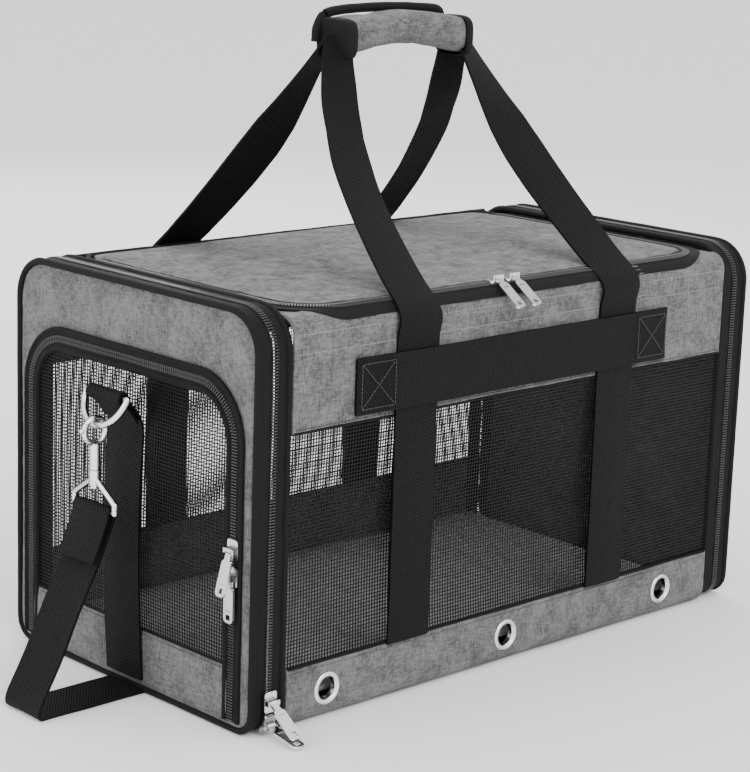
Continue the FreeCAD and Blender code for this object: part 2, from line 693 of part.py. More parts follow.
nodes = {
    "base_panel": base_panel(),
    "base_board": base_board(),
    "floor_mat": floor_mat(),
    "front_sill_band": front_sill(),
    "back_sill_band": mirror_y(sill(back_sill_height)),
    "front_mesh": mesh_window(sill_height),
    "back_mesh": mirror_y(mesh_window(back_sill_height)),
    "front_top_band": top_band(),
    "back_top_band": mirror_y(top_band()),
    "top_end_strips": top_end_strips(),
    "near_ring_gusset": mirror_x(far_body_gusset()),
    "far_ring_gusset": far_body_gusset(),
    "ring_piping": [mirror_x(far_body_piping()), far_body_piping()],
    "vent_eyelets": eyelets(),
    "side_webbing": side_webbing(),
    "luggage_band": luggage_band(),
    "front_handle": front_handle(),
    "back_handle": mirror_y(front_handle()),
    "grip_wrap": grip_wrap(),
    "lid_panel": lid_panel(),
    "lid_zip": lid_zip(),
    "near_end_panel": near_end_panel(),
    "near_panel_gusset": mirror_x(far_panel_gusset()),
    "near_panel_piping": mirror_x(far_panel_piping()),
    "near_hoop_wire": mirror_x(far_hoop_wire()),
    "door_surround": door_surround(),
    "door_tape": door_tape(),
    "door_mesh": door_mesh(),
    "door_kick_panel": door_kick(),
    "door_webbing": near_webbing,
    "near_d_ring": d_ring(),
    "near_hook": snap_hook(),
    "near_hook_gate": hook_gate(),
    "near_hook_eye": hook_eye(),
    "near_strap": near_strap,
    "floor_strap": strap_floor(),
    "far_strap": mirror_x(near_strap),
    "far_end_panel": end_cloth(),
    "far_panel_gusset": far_panel_gusset(),
    "far_panel_piping": far_panel_piping(),
    "far_hoop_wire": far_hoop_wire(),
    "far_webbing": far_webbing,
    "far_d_ring": mirror_x(d_ring()),
    "far_hook": mirror_x(snap_hook()),
    "far_hook_gate": mirror_x(hook_gate()),
    "far_hook_eye": mirror_x(hook_eye()),
}
for name, (origin, along, outward, tilt, along_pin, across_pin, shift) in sliders.items():
    nodes[name + "_slider"] = placed(slider(along_pin, across_pin, shift), origin, along, outward)
    nodes[name + "_pull"] = placed(slider_pull(), origin, along, outward, tilt)

for name, shape in nodes.items():
    solids = []
    for piece in (shape if isinstance(shape, list) else [shape]):
        solids += piece.Solids
    whole = solids[0] if len(solids) == 1 else Part.makeCompound(solids)
    if not whole.isValid():
        print("INVALID", name)
    b = whole.BoundBox
    print(f"{name:24s} solids {len(solids)} vol {whole.Volume / 1000:8.2f} cm3  "
          f"x {b.XMin:.1f}..{b.XMax:.1f} y {b.YMin:.1f}..{b.YMax:.1f} z {b.ZMin:.1f}..{b.ZMax:.1f}")
    whole.exportStep(f"parts/{name}.step")
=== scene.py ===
import json
import math

import bpy
from mathutils import Matrix, Vector, noise
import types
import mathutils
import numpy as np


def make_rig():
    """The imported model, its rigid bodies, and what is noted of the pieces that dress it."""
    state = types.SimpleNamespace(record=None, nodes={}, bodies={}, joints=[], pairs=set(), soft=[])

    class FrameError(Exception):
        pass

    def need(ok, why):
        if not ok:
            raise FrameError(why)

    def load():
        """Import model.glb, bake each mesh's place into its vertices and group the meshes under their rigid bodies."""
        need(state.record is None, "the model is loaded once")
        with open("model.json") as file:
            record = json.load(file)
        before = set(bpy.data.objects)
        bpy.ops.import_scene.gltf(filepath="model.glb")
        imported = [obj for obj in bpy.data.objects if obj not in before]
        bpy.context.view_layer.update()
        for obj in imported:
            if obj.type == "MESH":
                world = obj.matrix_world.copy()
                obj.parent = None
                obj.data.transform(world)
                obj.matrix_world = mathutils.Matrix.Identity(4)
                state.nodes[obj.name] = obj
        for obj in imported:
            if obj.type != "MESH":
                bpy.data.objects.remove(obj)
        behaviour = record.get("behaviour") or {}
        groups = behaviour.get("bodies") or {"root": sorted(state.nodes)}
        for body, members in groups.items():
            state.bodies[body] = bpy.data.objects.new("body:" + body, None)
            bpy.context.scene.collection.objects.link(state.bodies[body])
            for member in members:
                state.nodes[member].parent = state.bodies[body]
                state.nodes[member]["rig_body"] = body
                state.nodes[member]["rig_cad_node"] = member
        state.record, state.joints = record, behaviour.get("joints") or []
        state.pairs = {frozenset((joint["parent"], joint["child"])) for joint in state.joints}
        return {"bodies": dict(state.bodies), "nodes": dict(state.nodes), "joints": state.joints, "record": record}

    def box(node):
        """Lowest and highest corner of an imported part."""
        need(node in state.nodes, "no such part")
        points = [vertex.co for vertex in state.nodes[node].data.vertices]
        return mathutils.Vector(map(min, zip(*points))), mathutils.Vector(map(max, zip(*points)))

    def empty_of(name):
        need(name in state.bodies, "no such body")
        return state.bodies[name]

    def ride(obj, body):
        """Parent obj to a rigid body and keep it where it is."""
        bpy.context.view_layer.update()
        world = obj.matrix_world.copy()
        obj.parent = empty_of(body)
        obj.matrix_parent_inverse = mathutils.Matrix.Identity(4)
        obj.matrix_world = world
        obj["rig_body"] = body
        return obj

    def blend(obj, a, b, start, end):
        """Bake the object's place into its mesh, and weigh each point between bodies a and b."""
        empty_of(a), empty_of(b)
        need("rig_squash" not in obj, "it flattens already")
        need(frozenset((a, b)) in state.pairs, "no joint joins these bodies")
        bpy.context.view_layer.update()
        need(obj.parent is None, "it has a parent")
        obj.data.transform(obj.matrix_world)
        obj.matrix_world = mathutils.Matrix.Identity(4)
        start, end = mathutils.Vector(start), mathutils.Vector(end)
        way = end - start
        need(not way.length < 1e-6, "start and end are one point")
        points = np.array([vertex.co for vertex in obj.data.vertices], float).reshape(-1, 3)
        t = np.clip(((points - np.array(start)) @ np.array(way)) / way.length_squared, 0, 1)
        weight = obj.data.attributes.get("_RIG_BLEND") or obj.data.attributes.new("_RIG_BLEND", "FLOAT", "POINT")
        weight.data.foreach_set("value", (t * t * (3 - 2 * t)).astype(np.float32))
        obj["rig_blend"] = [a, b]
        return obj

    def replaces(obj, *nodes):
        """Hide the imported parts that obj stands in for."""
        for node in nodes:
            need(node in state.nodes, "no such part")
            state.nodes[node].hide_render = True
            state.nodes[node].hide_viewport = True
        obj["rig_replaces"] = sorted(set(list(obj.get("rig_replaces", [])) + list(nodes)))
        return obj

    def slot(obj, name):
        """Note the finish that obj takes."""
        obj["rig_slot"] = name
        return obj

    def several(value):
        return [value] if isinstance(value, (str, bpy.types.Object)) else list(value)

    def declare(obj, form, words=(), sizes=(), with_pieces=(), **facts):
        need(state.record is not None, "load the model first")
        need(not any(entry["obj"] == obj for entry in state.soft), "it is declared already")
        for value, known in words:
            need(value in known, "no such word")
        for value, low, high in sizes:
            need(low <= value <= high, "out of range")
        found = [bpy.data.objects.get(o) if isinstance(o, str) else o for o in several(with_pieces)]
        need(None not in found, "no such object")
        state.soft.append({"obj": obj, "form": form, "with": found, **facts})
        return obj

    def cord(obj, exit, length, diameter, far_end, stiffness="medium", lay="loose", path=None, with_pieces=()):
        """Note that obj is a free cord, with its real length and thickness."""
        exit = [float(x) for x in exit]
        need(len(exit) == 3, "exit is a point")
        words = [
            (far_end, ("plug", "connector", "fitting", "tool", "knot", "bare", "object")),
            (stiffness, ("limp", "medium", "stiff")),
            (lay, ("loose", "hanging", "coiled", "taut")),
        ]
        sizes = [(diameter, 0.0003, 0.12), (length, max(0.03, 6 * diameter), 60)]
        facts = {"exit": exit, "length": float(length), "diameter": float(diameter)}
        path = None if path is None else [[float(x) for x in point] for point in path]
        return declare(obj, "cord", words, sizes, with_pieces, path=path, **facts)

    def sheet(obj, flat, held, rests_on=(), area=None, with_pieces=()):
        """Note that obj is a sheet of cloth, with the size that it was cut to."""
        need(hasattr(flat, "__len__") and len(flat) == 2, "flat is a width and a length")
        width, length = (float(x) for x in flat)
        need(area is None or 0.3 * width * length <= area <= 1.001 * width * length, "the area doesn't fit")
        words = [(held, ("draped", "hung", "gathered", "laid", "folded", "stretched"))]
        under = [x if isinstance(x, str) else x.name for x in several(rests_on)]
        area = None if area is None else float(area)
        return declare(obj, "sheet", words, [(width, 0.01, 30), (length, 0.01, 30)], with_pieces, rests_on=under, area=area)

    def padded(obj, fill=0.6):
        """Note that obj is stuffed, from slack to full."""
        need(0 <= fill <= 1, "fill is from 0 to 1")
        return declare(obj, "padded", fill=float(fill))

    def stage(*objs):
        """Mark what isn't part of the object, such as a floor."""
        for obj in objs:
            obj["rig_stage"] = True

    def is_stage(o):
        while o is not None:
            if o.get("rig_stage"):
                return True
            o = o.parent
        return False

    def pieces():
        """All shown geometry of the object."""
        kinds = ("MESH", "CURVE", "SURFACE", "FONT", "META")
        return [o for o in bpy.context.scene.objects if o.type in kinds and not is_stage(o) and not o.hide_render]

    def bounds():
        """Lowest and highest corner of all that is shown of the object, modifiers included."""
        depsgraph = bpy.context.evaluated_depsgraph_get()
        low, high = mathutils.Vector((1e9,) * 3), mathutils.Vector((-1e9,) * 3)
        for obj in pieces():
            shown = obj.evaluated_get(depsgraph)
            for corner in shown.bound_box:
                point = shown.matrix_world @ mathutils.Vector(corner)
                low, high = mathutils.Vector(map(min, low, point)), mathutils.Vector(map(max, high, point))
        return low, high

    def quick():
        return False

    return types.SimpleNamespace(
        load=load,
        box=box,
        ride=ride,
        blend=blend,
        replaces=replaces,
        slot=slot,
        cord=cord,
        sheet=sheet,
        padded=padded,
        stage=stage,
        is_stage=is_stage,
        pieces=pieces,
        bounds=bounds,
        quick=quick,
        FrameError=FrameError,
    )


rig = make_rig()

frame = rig.load()
cad_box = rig.bounds()

# ---- Camera, floor and light ----------------------------------------------------------------------
# A plain pale studio: a long lens a little above the lid, one big soft light over the near corner,
# a fill from the door end and another from behind.
CAMERA_PLACE = (-1.1348, -1.1605, 0.5498)
CAMERA_HEADING = math.radians(43.85)
CAMERA_DIP = math.radians(-12.98)
CAMERA_ROLL = math.radians(1.93)
CAMERA_LENS = 105.5

eye = bpy.data.cameras.new("camera")
eye.lens = CAMERA_LENS
eye.sensor_width = 36.0
eye.clip_start = 0.05
camera = bpy.data.objects.new("camera", eye)
bpy.context.scene.collection.objects.link(camera)
forward = Vector((math.sin(CAMERA_HEADING) * math.cos(CAMERA_DIP),
                  math.cos(CAMERA_HEADING) * math.cos(CAMERA_DIP), math.sin(CAMERA_DIP)))
level = Vector((math.cos(CAMERA_HEADING), -math.sin(CAMERA_HEADING), 0))
upward = level.cross(forward)
right = level * math.cos(CAMERA_ROLL) + upward * math.sin(CAMERA_ROLL)
top = upward * math.cos(CAMERA_ROLL) - level * math.sin(CAMERA_ROLL)
camera.matrix_world = Matrix((
    (right.x, top.x, -forward.x, CAMERA_PLACE[0]), (right.y, top.y, -forward.y, CAMERA_PLACE[1]),
    (right.z, top.z, -forward.z, CAMERA_PLACE[2]), (0, 0, 0, 1)))
bpy.context.scene.camera = camera


def deselect():
    bpy.ops.object.select_all(action="DESELECT")


def principled(material):
    return next(n for n in material.node_tree.nodes if n.type == "BSDF_PRINCIPLED")


deselect()
bpy.ops.mesh.primitive_plane_add(size=80, location=(0, 0, -0.0004))
floor = bpy.context.object
floor.name = "floor"
pale = bpy.data.materials.new("studio_floor")
pale.use_nodes = True
principled(pale).inputs["Base Color"].default_value = (0.93, 0.93, 0.93, 1)
principled(pale).inputs["Roughness"].default_value = 0.9
floor.data.materials.append(pale)
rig.stage(floor)

world = bpy.data.worlds.new("studio")
world.use_nodes = True
world.node_tree.nodes["Background"].inputs["Color"].default_value = (1, 1, 1, 1)
world.node_tree.nodes["Background"].inputs["Strength"].default_value = 1.5
bpy.context.scene.world = world


def soft_light(name, place, aim, size, power):
    lamp = bpy.data.lights.new(name, "AREA")
    lamp.shape = "SQUARE"
    lamp.size = size
    lamp.energy = power
    holder = bpy.data.objects.new(name, lamp)
    bpy.context.scene.collection.objects.link(holder)
    holder.location = place
    holder.rotation_euler = (Vector(aim) - Vector(place)).to_track_quat("-Z", "Y").to_euler()


soft_light("key_light", (-0.5, -1.9, 1.7), (0, 0, 0.12), 1.3, 34)
soft_light("end_light", (-2.2, 0.1, 1.0), (-0.2, 0, 0.12), 1.2, 16)
soft_light("back_light", (0.9, 1.9, 1.3), (0, 0, 0.1), 1.4, 20)

# ---- Cloth walls: sizes, grey oxford cloth, and how a cloth piece is laid out ---------------------
# The walls are heathered grey oxford cloth with a thin foam backing, cut flat, bent over the shoulder
# of the bag and sewn into the piping. They pucker a little at every seam.
ring_low, ring_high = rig.box("near_panel_piping")
body_low, body_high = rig.box("front_top_band")
sill_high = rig.box("front_sill_band")[1]
back_sill_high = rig.box("back_sill_band")[1]
HALF = ring_high[1]
TOP = ring_high[2]
BODY_X = body_high[0]
BODY_TOP = body_high[2]
MESH_TOP = body_low[2]
SILL_TOP = sill_high[2]
BACK_SILL_TOP = back_sill_high[2]
SHOULDER = HALF + body_high[1]
CLOTH = 0.0022


def new_material(name):
    material = bpy.data.materials.new(name)
    material.use_nodes = True
    return material


def group_of(name, inputs, outputs):
    """An empty node group with named sockets."""
    tree = bpy.data.node_groups.new(name, "ShaderNodeTree")
    for label, kind, value in inputs:
        socket = tree.interface.new_socket(label, in_out="INPUT", socket_type=kind)
        if value is not None:
            socket.default_value = value
    for label, kind in outputs:
        tree.interface.new_socket(label, in_out="OUTPUT", socket_type=kind)
    return tree, tree.nodes.new("NodeGroupInput"), tree.nodes.new("NodeGroupOutput")


def maths(tree, operation, a, b=None, c=None):
    node = tree.nodes.new("ShaderNodeMath")
    node.operation = operation
    for i, value in enumerate((a, b, c)):
        if value is None:
            continue
        if hasattr(value, "links"):
            tree.links.new(value, node.inputs[i])
        else:
            node.inputs[i].default_value = value
    return node.outputs[0]


def build_weave_group():
    """Plain weave: two crossed sets of rounded threads, and the loose fibres on them."""
    tree, given, out = group_of("plain_weave", [
        ("Threads per metre", "NodeSocketFloat", 1300.0), ("Fibre", "NodeSocketFloat", 0.35)],
        [("Height", "NodeSocketFloat"), ("Fibre", "NodeSocketFloat")])
    place = tree.nodes.new("ShaderNodeTexCoord")
    split = tree.nodes.new("ShaderNodeSeparateXYZ")
    tree.links.new(place.outputs["Object"], split.inputs[0])
    slant = maths(tree, "ADD", split.outputs[0], split.outputs[1])
    waves = []
    for axis in (slant, split.outputs[2], split.outputs[1]):
        turn = maths(tree, "MULTIPLY", axis, given.outputs["Threads per metre"])
        waves.append(maths(tree, "SINE", maths(tree, "MULTIPLY", turn, 2 * math.pi)))
    crossed = maths(tree, "MULTIPLY", waves[0], maths(tree, "ADD", waves[1], maths(
        tree, "MULTIPLY", waves[2], 0.5)))
    fuzz = tree.nodes.new("ShaderNodeTexNoise")
    fuzz.inputs["Scale"].default_value = 1400
    fuzz.inputs["Detail"].default_value = 2
    tree.links.new(place.outputs["Object"], fuzz.inputs["Vector"])
    mixed = maths(tree, "MULTIPLY_ADD", fuzz.outputs["Fac"], given.outputs["Fibre"], crossed)
    tree.links.new(mixed, out.inputs["Height"])
    tree.links.new(fuzz.outputs["Fac"], out.inputs["Fibre"])
    return tree


def build_heather_group():
    """Heathered yarn: short light and dark streaks along both threads, and slow cloudy mottling."""
    tree, given, out = group_of("heather", [
        ("Dark", "NodeSocketColor", (0.2, 0.2, 0.2, 1)), ("Light", "NodeSocketColor", (0.4, 0.4, 0.4, 1))],
        [("Color", "NodeSocketColor"), ("Mask", "NodeSocketFloat")])
    place = tree.nodes.new("ShaderNodeTexCoord")
    masks = []
    for stretch in ((160, 160, 1500), (1500, 1500, 160), (60, 60, 60), (420, 420, 420)):
        scale = tree.nodes.new("ShaderNodeMapping")
        scale.inputs["Scale"].default_value = stretch
        tree.links.new(place.outputs["Object"], scale.inputs["Vector"])
        streak = tree.nodes.new("ShaderNodeTexNoise")
        streak.inputs["Scale"].default_value = 1.0
        streak.inputs["Detail"].default_value = 3
        tree.links.new(scale.outputs[0], streak.inputs["Vector"])
        masks.append(streak.outputs["Fac"])
    yarn = maths(tree, "ADD", masks[0], masks[1])
    cloud = maths(tree, "ADD", maths(tree, "MULTIPLY", masks[2], 0.9), maths(tree, "MULTIPLY", masks[3], 0.8))
    total = maths(tree, "ADD", yarn, cloud)
    ramp = tree.nodes.new("ShaderNodeMapRange")
    ramp.inputs["From Min"].default_value = 1.5
    ramp.inputs["From Max"].default_value = 2.15
    tree.links.new(total, ramp.inputs["Value"])
    mix = tree.nodes.new("ShaderNodeMix")
    mix.data_type = "RGBA"
    tree.links.new(ramp.outputs[0], mix.inputs[0])
    tree.links.new(given.outputs["Dark"], mix.inputs[6])
    tree.links.new(given.outputs["Light"], mix.inputs[7])
    tree.links.new(mix.outputs[2], out.inputs["Color"])
    tree.links.new(ramp.outputs[0], out.inputs["Mask"])
    return tree


weave_group = build_weave_group()
heather_group = build_heather_group()


def use_group(material, tree):
    node = material.node_tree.nodes.new("ShaderNodeGroup")
    node.node_tree = tree
    return node


def creases(material):
    """Slow, soft creases under the weave: the normal that the weave's own bump starts from."""
    place = material.node_tree.nodes.new("ShaderNodeTexCoord")
    soft = material.node_tree.nodes.new("ShaderNodeTexNoise")
    soft.inputs["Scale"].default_value = 38
    soft.inputs["Detail"].default_value = 3
    soft.inputs["Distortion"].default_value = 0.6
    bump = material.node_tree.nodes.new("ShaderNodeBump")
    bump.inputs["Strength"].default_value = 0.55
    bump.inputs["Distance"].default_value = 0.0016
    material.node_tree.links.new(place.outputs["Object"], soft.inputs["Vector"])
    material.node_tree.links.new(soft.outputs["Fac"], bump.inputs["Height"])
    return bump.outputs[0]


def bump_from(material, height, strength, distance, under=None):
    bump = material.node_tree.nodes.new("ShaderNodeBump")
    if under is not None:
        material.node_tree.links.new(under, bump.inputs["Normal"])
    bump.inputs["Strength"].default_value = strength
    bump.inputs["Distance"].default_value = distance
    material.node_tree.links.new(height, bump.inputs["Height"])
    material.node_tree.links.new(bump.outputs[0], principled(material).inputs["Normal"])


def heathered_cloth(name, dark, light, threads=1300.0, rough=0.92):
    material = new_material(name)
    links = material.node_tree.links
    heather = use_group(material, heather_group)
    heather.inputs["Dark"].default_value = (*dark, 1)
    heather.inputs["Light"].default_value = (*light, 1)
    links.new(heather.outputs["Color"], principled(material).inputs["Base Color"])
    weave = use_group(material, weave_group)
    weave.inputs["Threads per metre"].default_value = threads
    bump_from(material, weave.outputs["Height"], 0.6, 0.0003, creases(material))
    principled(material).inputs["Roughness"].default_value = rough
    principled(material).inputs["Specular IOR Level"].default_value = 0.25
    principled(material).inputs["Sheen Weight"].default_value = 0.15
    return material


grey_cloth = heathered_cloth("grey_oxford", (0.038, 0.038, 0.040), (0.185, 0.185, 0.19))
black_cloth = heathered_cloth("black_lining", (0.010, 0.010, 0.010), (0.022, 0.022, 0.022))


def lay_out(name, columns, rows, place, thickness, material, outward=0.0, closed=False):
    """A strip of cloth: a grid whose points go where place(u, v) says, given its thickness."""
    deselect()
    bpy.ops.mesh.primitive_grid_add(x_subdivisions=columns, y_subdivisions=rows, size=1)
    piece = bpy.context.object
    piece.name = name
    for vertex in piece.data.vertices:
        vertex.co = place(vertex.co.x + 0.5, vertex.co.y + 0.5)
    if closed:
        bpy.ops.object.mode_set(mode="EDIT")
        bpy.ops.mesh.select_all(action="SELECT")
        bpy.ops.mesh.remove_doubles(threshold=0.00002)
        bpy.ops.mesh.normals_make_consistent(inside=False)
        bpy.ops.object.mode_set(mode="OBJECT")
    if thickness:
        wall = piece.modifiers.new("wall", "SOLIDIFY")
        wall.thickness = thickness
        wall.offset = outward
        bpy.ops.object.modifier_apply(modifier=wall.name)
    bpy.ops.object.shade_smooth_by_angle(angle=math.radians(50))
    piece.data.materials.clear()
    piece.data.materials.append(material)
    return piece


def ripple(x, y, z, size, height):
    """Slow unevenness of sewn cloth."""
    return height * noise.noise(Vector((x, y, z)) / size)


def finish_piece(piece, body, slot, *nodes):
    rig.ride(piece, body)
    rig.slot(piece, slot)
    if nodes:
        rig.replaces(piece, *nodes)
    return piece


# ---- Long walls: cloth bands above and sills below the mesh windows --------------------------------
# Each long wall is a band of grey cloth from the mesh up over the shoulder to the lid, and a sill of
# the same cloth from the mesh down under the bag. The handle webbing draws small puckers in the band.
webbing_low, webbing_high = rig.box("side_webbing")
WEB_HALF = 0.019
LEGS_X = (webbing_low[0] + WEB_HALF, webbing_high[0] - WEB_HALF)


def pucker(x, z):
    """Short folds that run out from the edges of the handle webbing under the shoulder."""
    total = 0.0
    for edge in (LEGS_X[0] - WEB_HALF, LEGS_X[0] + WEB_HALF, LEGS_X[1] - WEB_HALF, LEGS_X[1] + WEB_HALF):
        away = abs(x - edge)
        total += math.exp(-away / 0.012) * math.sin(away / 0.0045 + z * 90) * math.exp(
            -((z - 0.252) / 0.016) ** 2)
    return 0.0011 * total


def band_place(side):
    upright = BODY_TOP - SHOULDER - MESH_TOP
    bend = SHOULDER * math.pi / 2

    def place(u, v):
        x = -BODY_X + 2 * BODY_X * u
        run = v * (upright + bend)
        if run < upright:
            y, z, slope = HALF, MESH_TOP + run, 0.0
        else:
            slope = (run - upright) / SHOULDER
            y = HALF - SHOULDER * (1 - math.cos(slope))
            z = BODY_TOP - SHOULDER + SHOULDER * math.sin(slope)
        edge = min(1.0, (BODY_X - abs(x)) / 0.02)
        inward = 0.0013 + edge * (ripple(x, side, z, 0.05, 0.0012) - pucker(x, z))
        y -= inward * math.cos(slope)
        z -= inward * math.sin(slope)
        return Vector((x, side * y, z))

    return place


def sill_place(side, height):
    bend = SHOULDER * math.pi / 2

    def place(u, v):
        x = -BODY_X + 2 * BODY_X * u
        run = v * (bend + height - SHOULDER)
        if run > bend:
            y, z, slope = HALF, SHOULDER + run - bend, 0.0
        else:
            slope = 1 - run / bend
            angle = slope * math.pi / 2
            y = HALF - SHOULDER * (1 - math.cos(angle))
            z = SHOULDER - SHOULDER * math.sin(angle)
        bow = ripple(x, side, z + 3, 0.06, 0.001) + 0.0013
        return Vector((x, side * (y - bow), max(z, 0.0012 * slope)))

    return place


front_band = lay_out("front_band_cloth", 216, 26, band_place(-1), CLOTH, grey_cloth)
back_band = lay_out("back_band_cloth", 216, 26, band_place(1), CLOTH, grey_cloth)
front_sill = lay_out("front_sill_cloth", 160, 14, sill_place(-1, SILL_TOP), CLOTH, grey_cloth)
back_sill = lay_out("back_sill_cloth", 160, 18, sill_place(1, BACK_SILL_TOP), CLOTH, grey_cloth)
finish_piece(front_band, "bag_body", "grey_cloth", "front_top_band")
finish_piece(back_band, "bag_body", "grey_cloth", "back_top_band")
eyelet_low, eyelet_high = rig.box("vent_eyelets")
EYELET_R = (eyelet_high[2] - eyelet_low[2]) / 2
EYELETS_X = (eyelet_low[0] + EYELET_R, (eyelet_low[0] + eyelet_high[0]) / 2, eyelet_high[0] - EYELET_R)
punches = []
for x in EYELETS_X:
    deselect()
    bpy.ops.mesh.primitive_cylinder_add(vertices=32, radius=EYELET_R - 0.0033, depth=0.03,
                                        location=(x, -HALF, (eyelet_low[2] + eyelet_high[2]) / 2),
                                        rotation=(math.pi / 2, 0, 0))
    bpy.ops.object.transform_apply(location=True, rotation=True, scale=True)
    punches.append(bpy.context.object)
for punch in punches:
    bpy.context.view_layer.objects.active = front_sill
    hole = front_sill.modifiers.new("hole", "BOOLEAN")
    hole.object = punch
    hole.solver = "EXACT"
    bpy.ops.object.modifier_apply(modifier=hole.name)
    bpy.data.objects.remove(punch)
finish_piece(front_sill, "bag_body", "grey_cloth", "front_sill_band")
finish_piece(back_sill, "bag_body", "grey_cloth", "back_sill_band")
band_width = BODY_TOP - SHOULDER - MESH_TOP + SHOULDER * math.pi / 2
for piece, width in ((front_band, band_width), (back_band, band_width),
                     (front_sill, SILL_TOP + SHOULDER * (math.pi / 2 - 1)),
                     (back_sill, BACK_SILL_TOP + SHOULDER * (math.pi / 2 - 1))):
    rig.sheet(piece, flat=(width, 2 * BODY_X), held="stretched", rests_on=["ring_piping"])

# ---- Base cloth, base board and floor mat ----------------------------------------------------------
# Black base cloth with the board loose on it, and a thin padded mat in grey cloth with rounded
# edges on top of the board.
base_low, base_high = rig.box("base_panel")
mat_low, mat_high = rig.box("floor_mat")
TROUGH_HALF = 0.022
TROUGH_DEPTH = 0.0024


def base_place(u, v):
    x = base_low[0] + (base_high[0] - base_low[0]) * u
    y = base_low[1] + (base_high[1] - base_low[1]) * v
    lift = TROUGH_DEPTH if abs(y) < TROUGH_HALF else 0.0
    return Vector((x, y, 0.0011 + lift + 0.0003 * (1 + noise.noise(Vector((x * 20, y * 20, 0))))))


base_cloth = lay_out("base_cloth", 60, 60, base_place, 0.0018, black_cloth)
finish_piece(base_cloth, "bag_body", "base_cloth", "base_panel")
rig.sheet(base_cloth, flat=(base_high[1] - base_low[1], base_high[0] - base_low[0]), held="laid")

board_look = new_material("base_board")
grain = board_look.node_tree.nodes.new("ShaderNodeTexNoise")
grain.inputs["Scale"].default_value = 900
bump_from(board_look, grain.outputs["Fac"], 0.3, 0.0002)
principled(board_look).inputs["Base Color"].default_value = (0.05, 0.05, 0.05, 1)
principled(board_look).inputs["Roughness"].default_value = 0.6


def give(node, material):
    """A CAD node keeps its shape and gets a finish."""
    piece = frame["nodes"][node]
    piece.data.materials.clear()
    piece.data.materials.append(material)


give("base_board", board_look)

mat_cloth = heathered_cloth("mat_plush", (0.27, 0.27, 0.272), (0.46, 0.46, 0.462), threads=700.0, rough=1.0)


def soften(piece, voxel, pressure, cap, steps=20):
    """Blows a padded piece up a little with cloth simulation and keeps every point near its place."""
    bpy.context.view_layer.objects.active = piece
    deselect()
    piece.select_set(True)
    remesh = piece.modifiers.new("remesh", "REMESH")
    remesh.mode = "VOXEL"
    remesh.voxel_size = voxel
    bpy.ops.object.modifier_apply(modifier=remesh.name)
    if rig.quick():
        return
    before = [v.co.copy() for v in piece.data.vertices]
    cloth = piece.modifiers.new("cloth", "CLOTH")
    cloth.settings.use_pressure = True
    cloth.settings.uniform_pressure_force = pressure
    cloth.settings.effector_weights.gravity = 0
    cloth.settings.quality = 5
    cloth.point_cache.frame_start = 1
    cloth.point_cache.frame_end = steps
    for step in range(1, steps + 1):
        bpy.context.scene.frame_set(step)
    bpy.ops.object.modifier_apply(modifier=cloth.name)
    bpy.context.scene.frame_set(1)
    for vertex, start in zip(piece.data.vertices, before):
        move = vertex.co - start
        if move.length > cap:
            vertex.co = start + move.normalized() * cap


deselect()
bpy.ops.mesh.primitive_cube_add(size=1, location=(0, 0, (mat_low[2] + mat_high[2]) / 2))
mat = bpy.context.object
mat.name = "floor_mat_pad"
mat.scale = (mat_high[0] - mat_low[0] - 0.008, mat_high[1] - mat_low[1] - 0.008,
             mat_high[2] - mat_low[2] - 0.006)
bpy.ops.object.transform_apply(location=True, rotation=True, scale=True)
rounding = mat.modifiers.new("rounding", "BEVEL")
rounding.width = 0.004
rounding.segments = 3
bpy.ops.object.modifier_apply(modifier=rounding.name)
soften(mat, 0.005, 4.0, 0.0035)
smooth = mat.modifiers.new("smooth", "SUBSURF")
smooth.levels = 1
smooth.render_levels = 1
bpy.ops.object.modifier_apply(modifier=smooth.name)
for vertex in mat.data.vertices:
    vertex.co.z = min(max(vertex.co.z, mat_low[2]), mat_high[2])
bpy.ops.object.shade_smooth()
mat.data.materials.append(mat_cloth)
finish_piece(mat, "bag_body", "mat_cloth", "floor_mat")
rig.padded(mat, fill=0.4)

# ---- Mesh windows ----------------------------------------------------------------------------------
# Open coated mesh in both long walls, sewn in behind the cloth. It hangs a few millimetres slack.
MESH_PITCH = 0.0025
MESH_THREAD = 0.00054

mesh_look = new_material("coated_mesh")
knots = mesh_look.node_tree.nodes.new("ShaderNodeTexNoise")
knots.inputs["Scale"].default_value = 700
bump_from(mesh_look, knots.outputs["Fac"], 0.4, 0.0002)
shade = mesh_look.node_tree.nodes.new("ShaderNodeMapRange")
shade.inputs["To Min"].default_value = 0.35
shade.inputs["To Max"].default_value = 0.6
mesh_look.node_tree.links.new(knots.outputs["Fac"], shade.inputs["Value"])
mesh_look.node_tree.links.new(shade.outputs[0], principled(mesh_look).inputs["Roughness"])
principled(mesh_look).inputs["Base Color"].default_value = (0.006, 0.006, 0.006, 1)
principled(mesh_look).inputs["Specular IOR Level"].default_value = 0.2


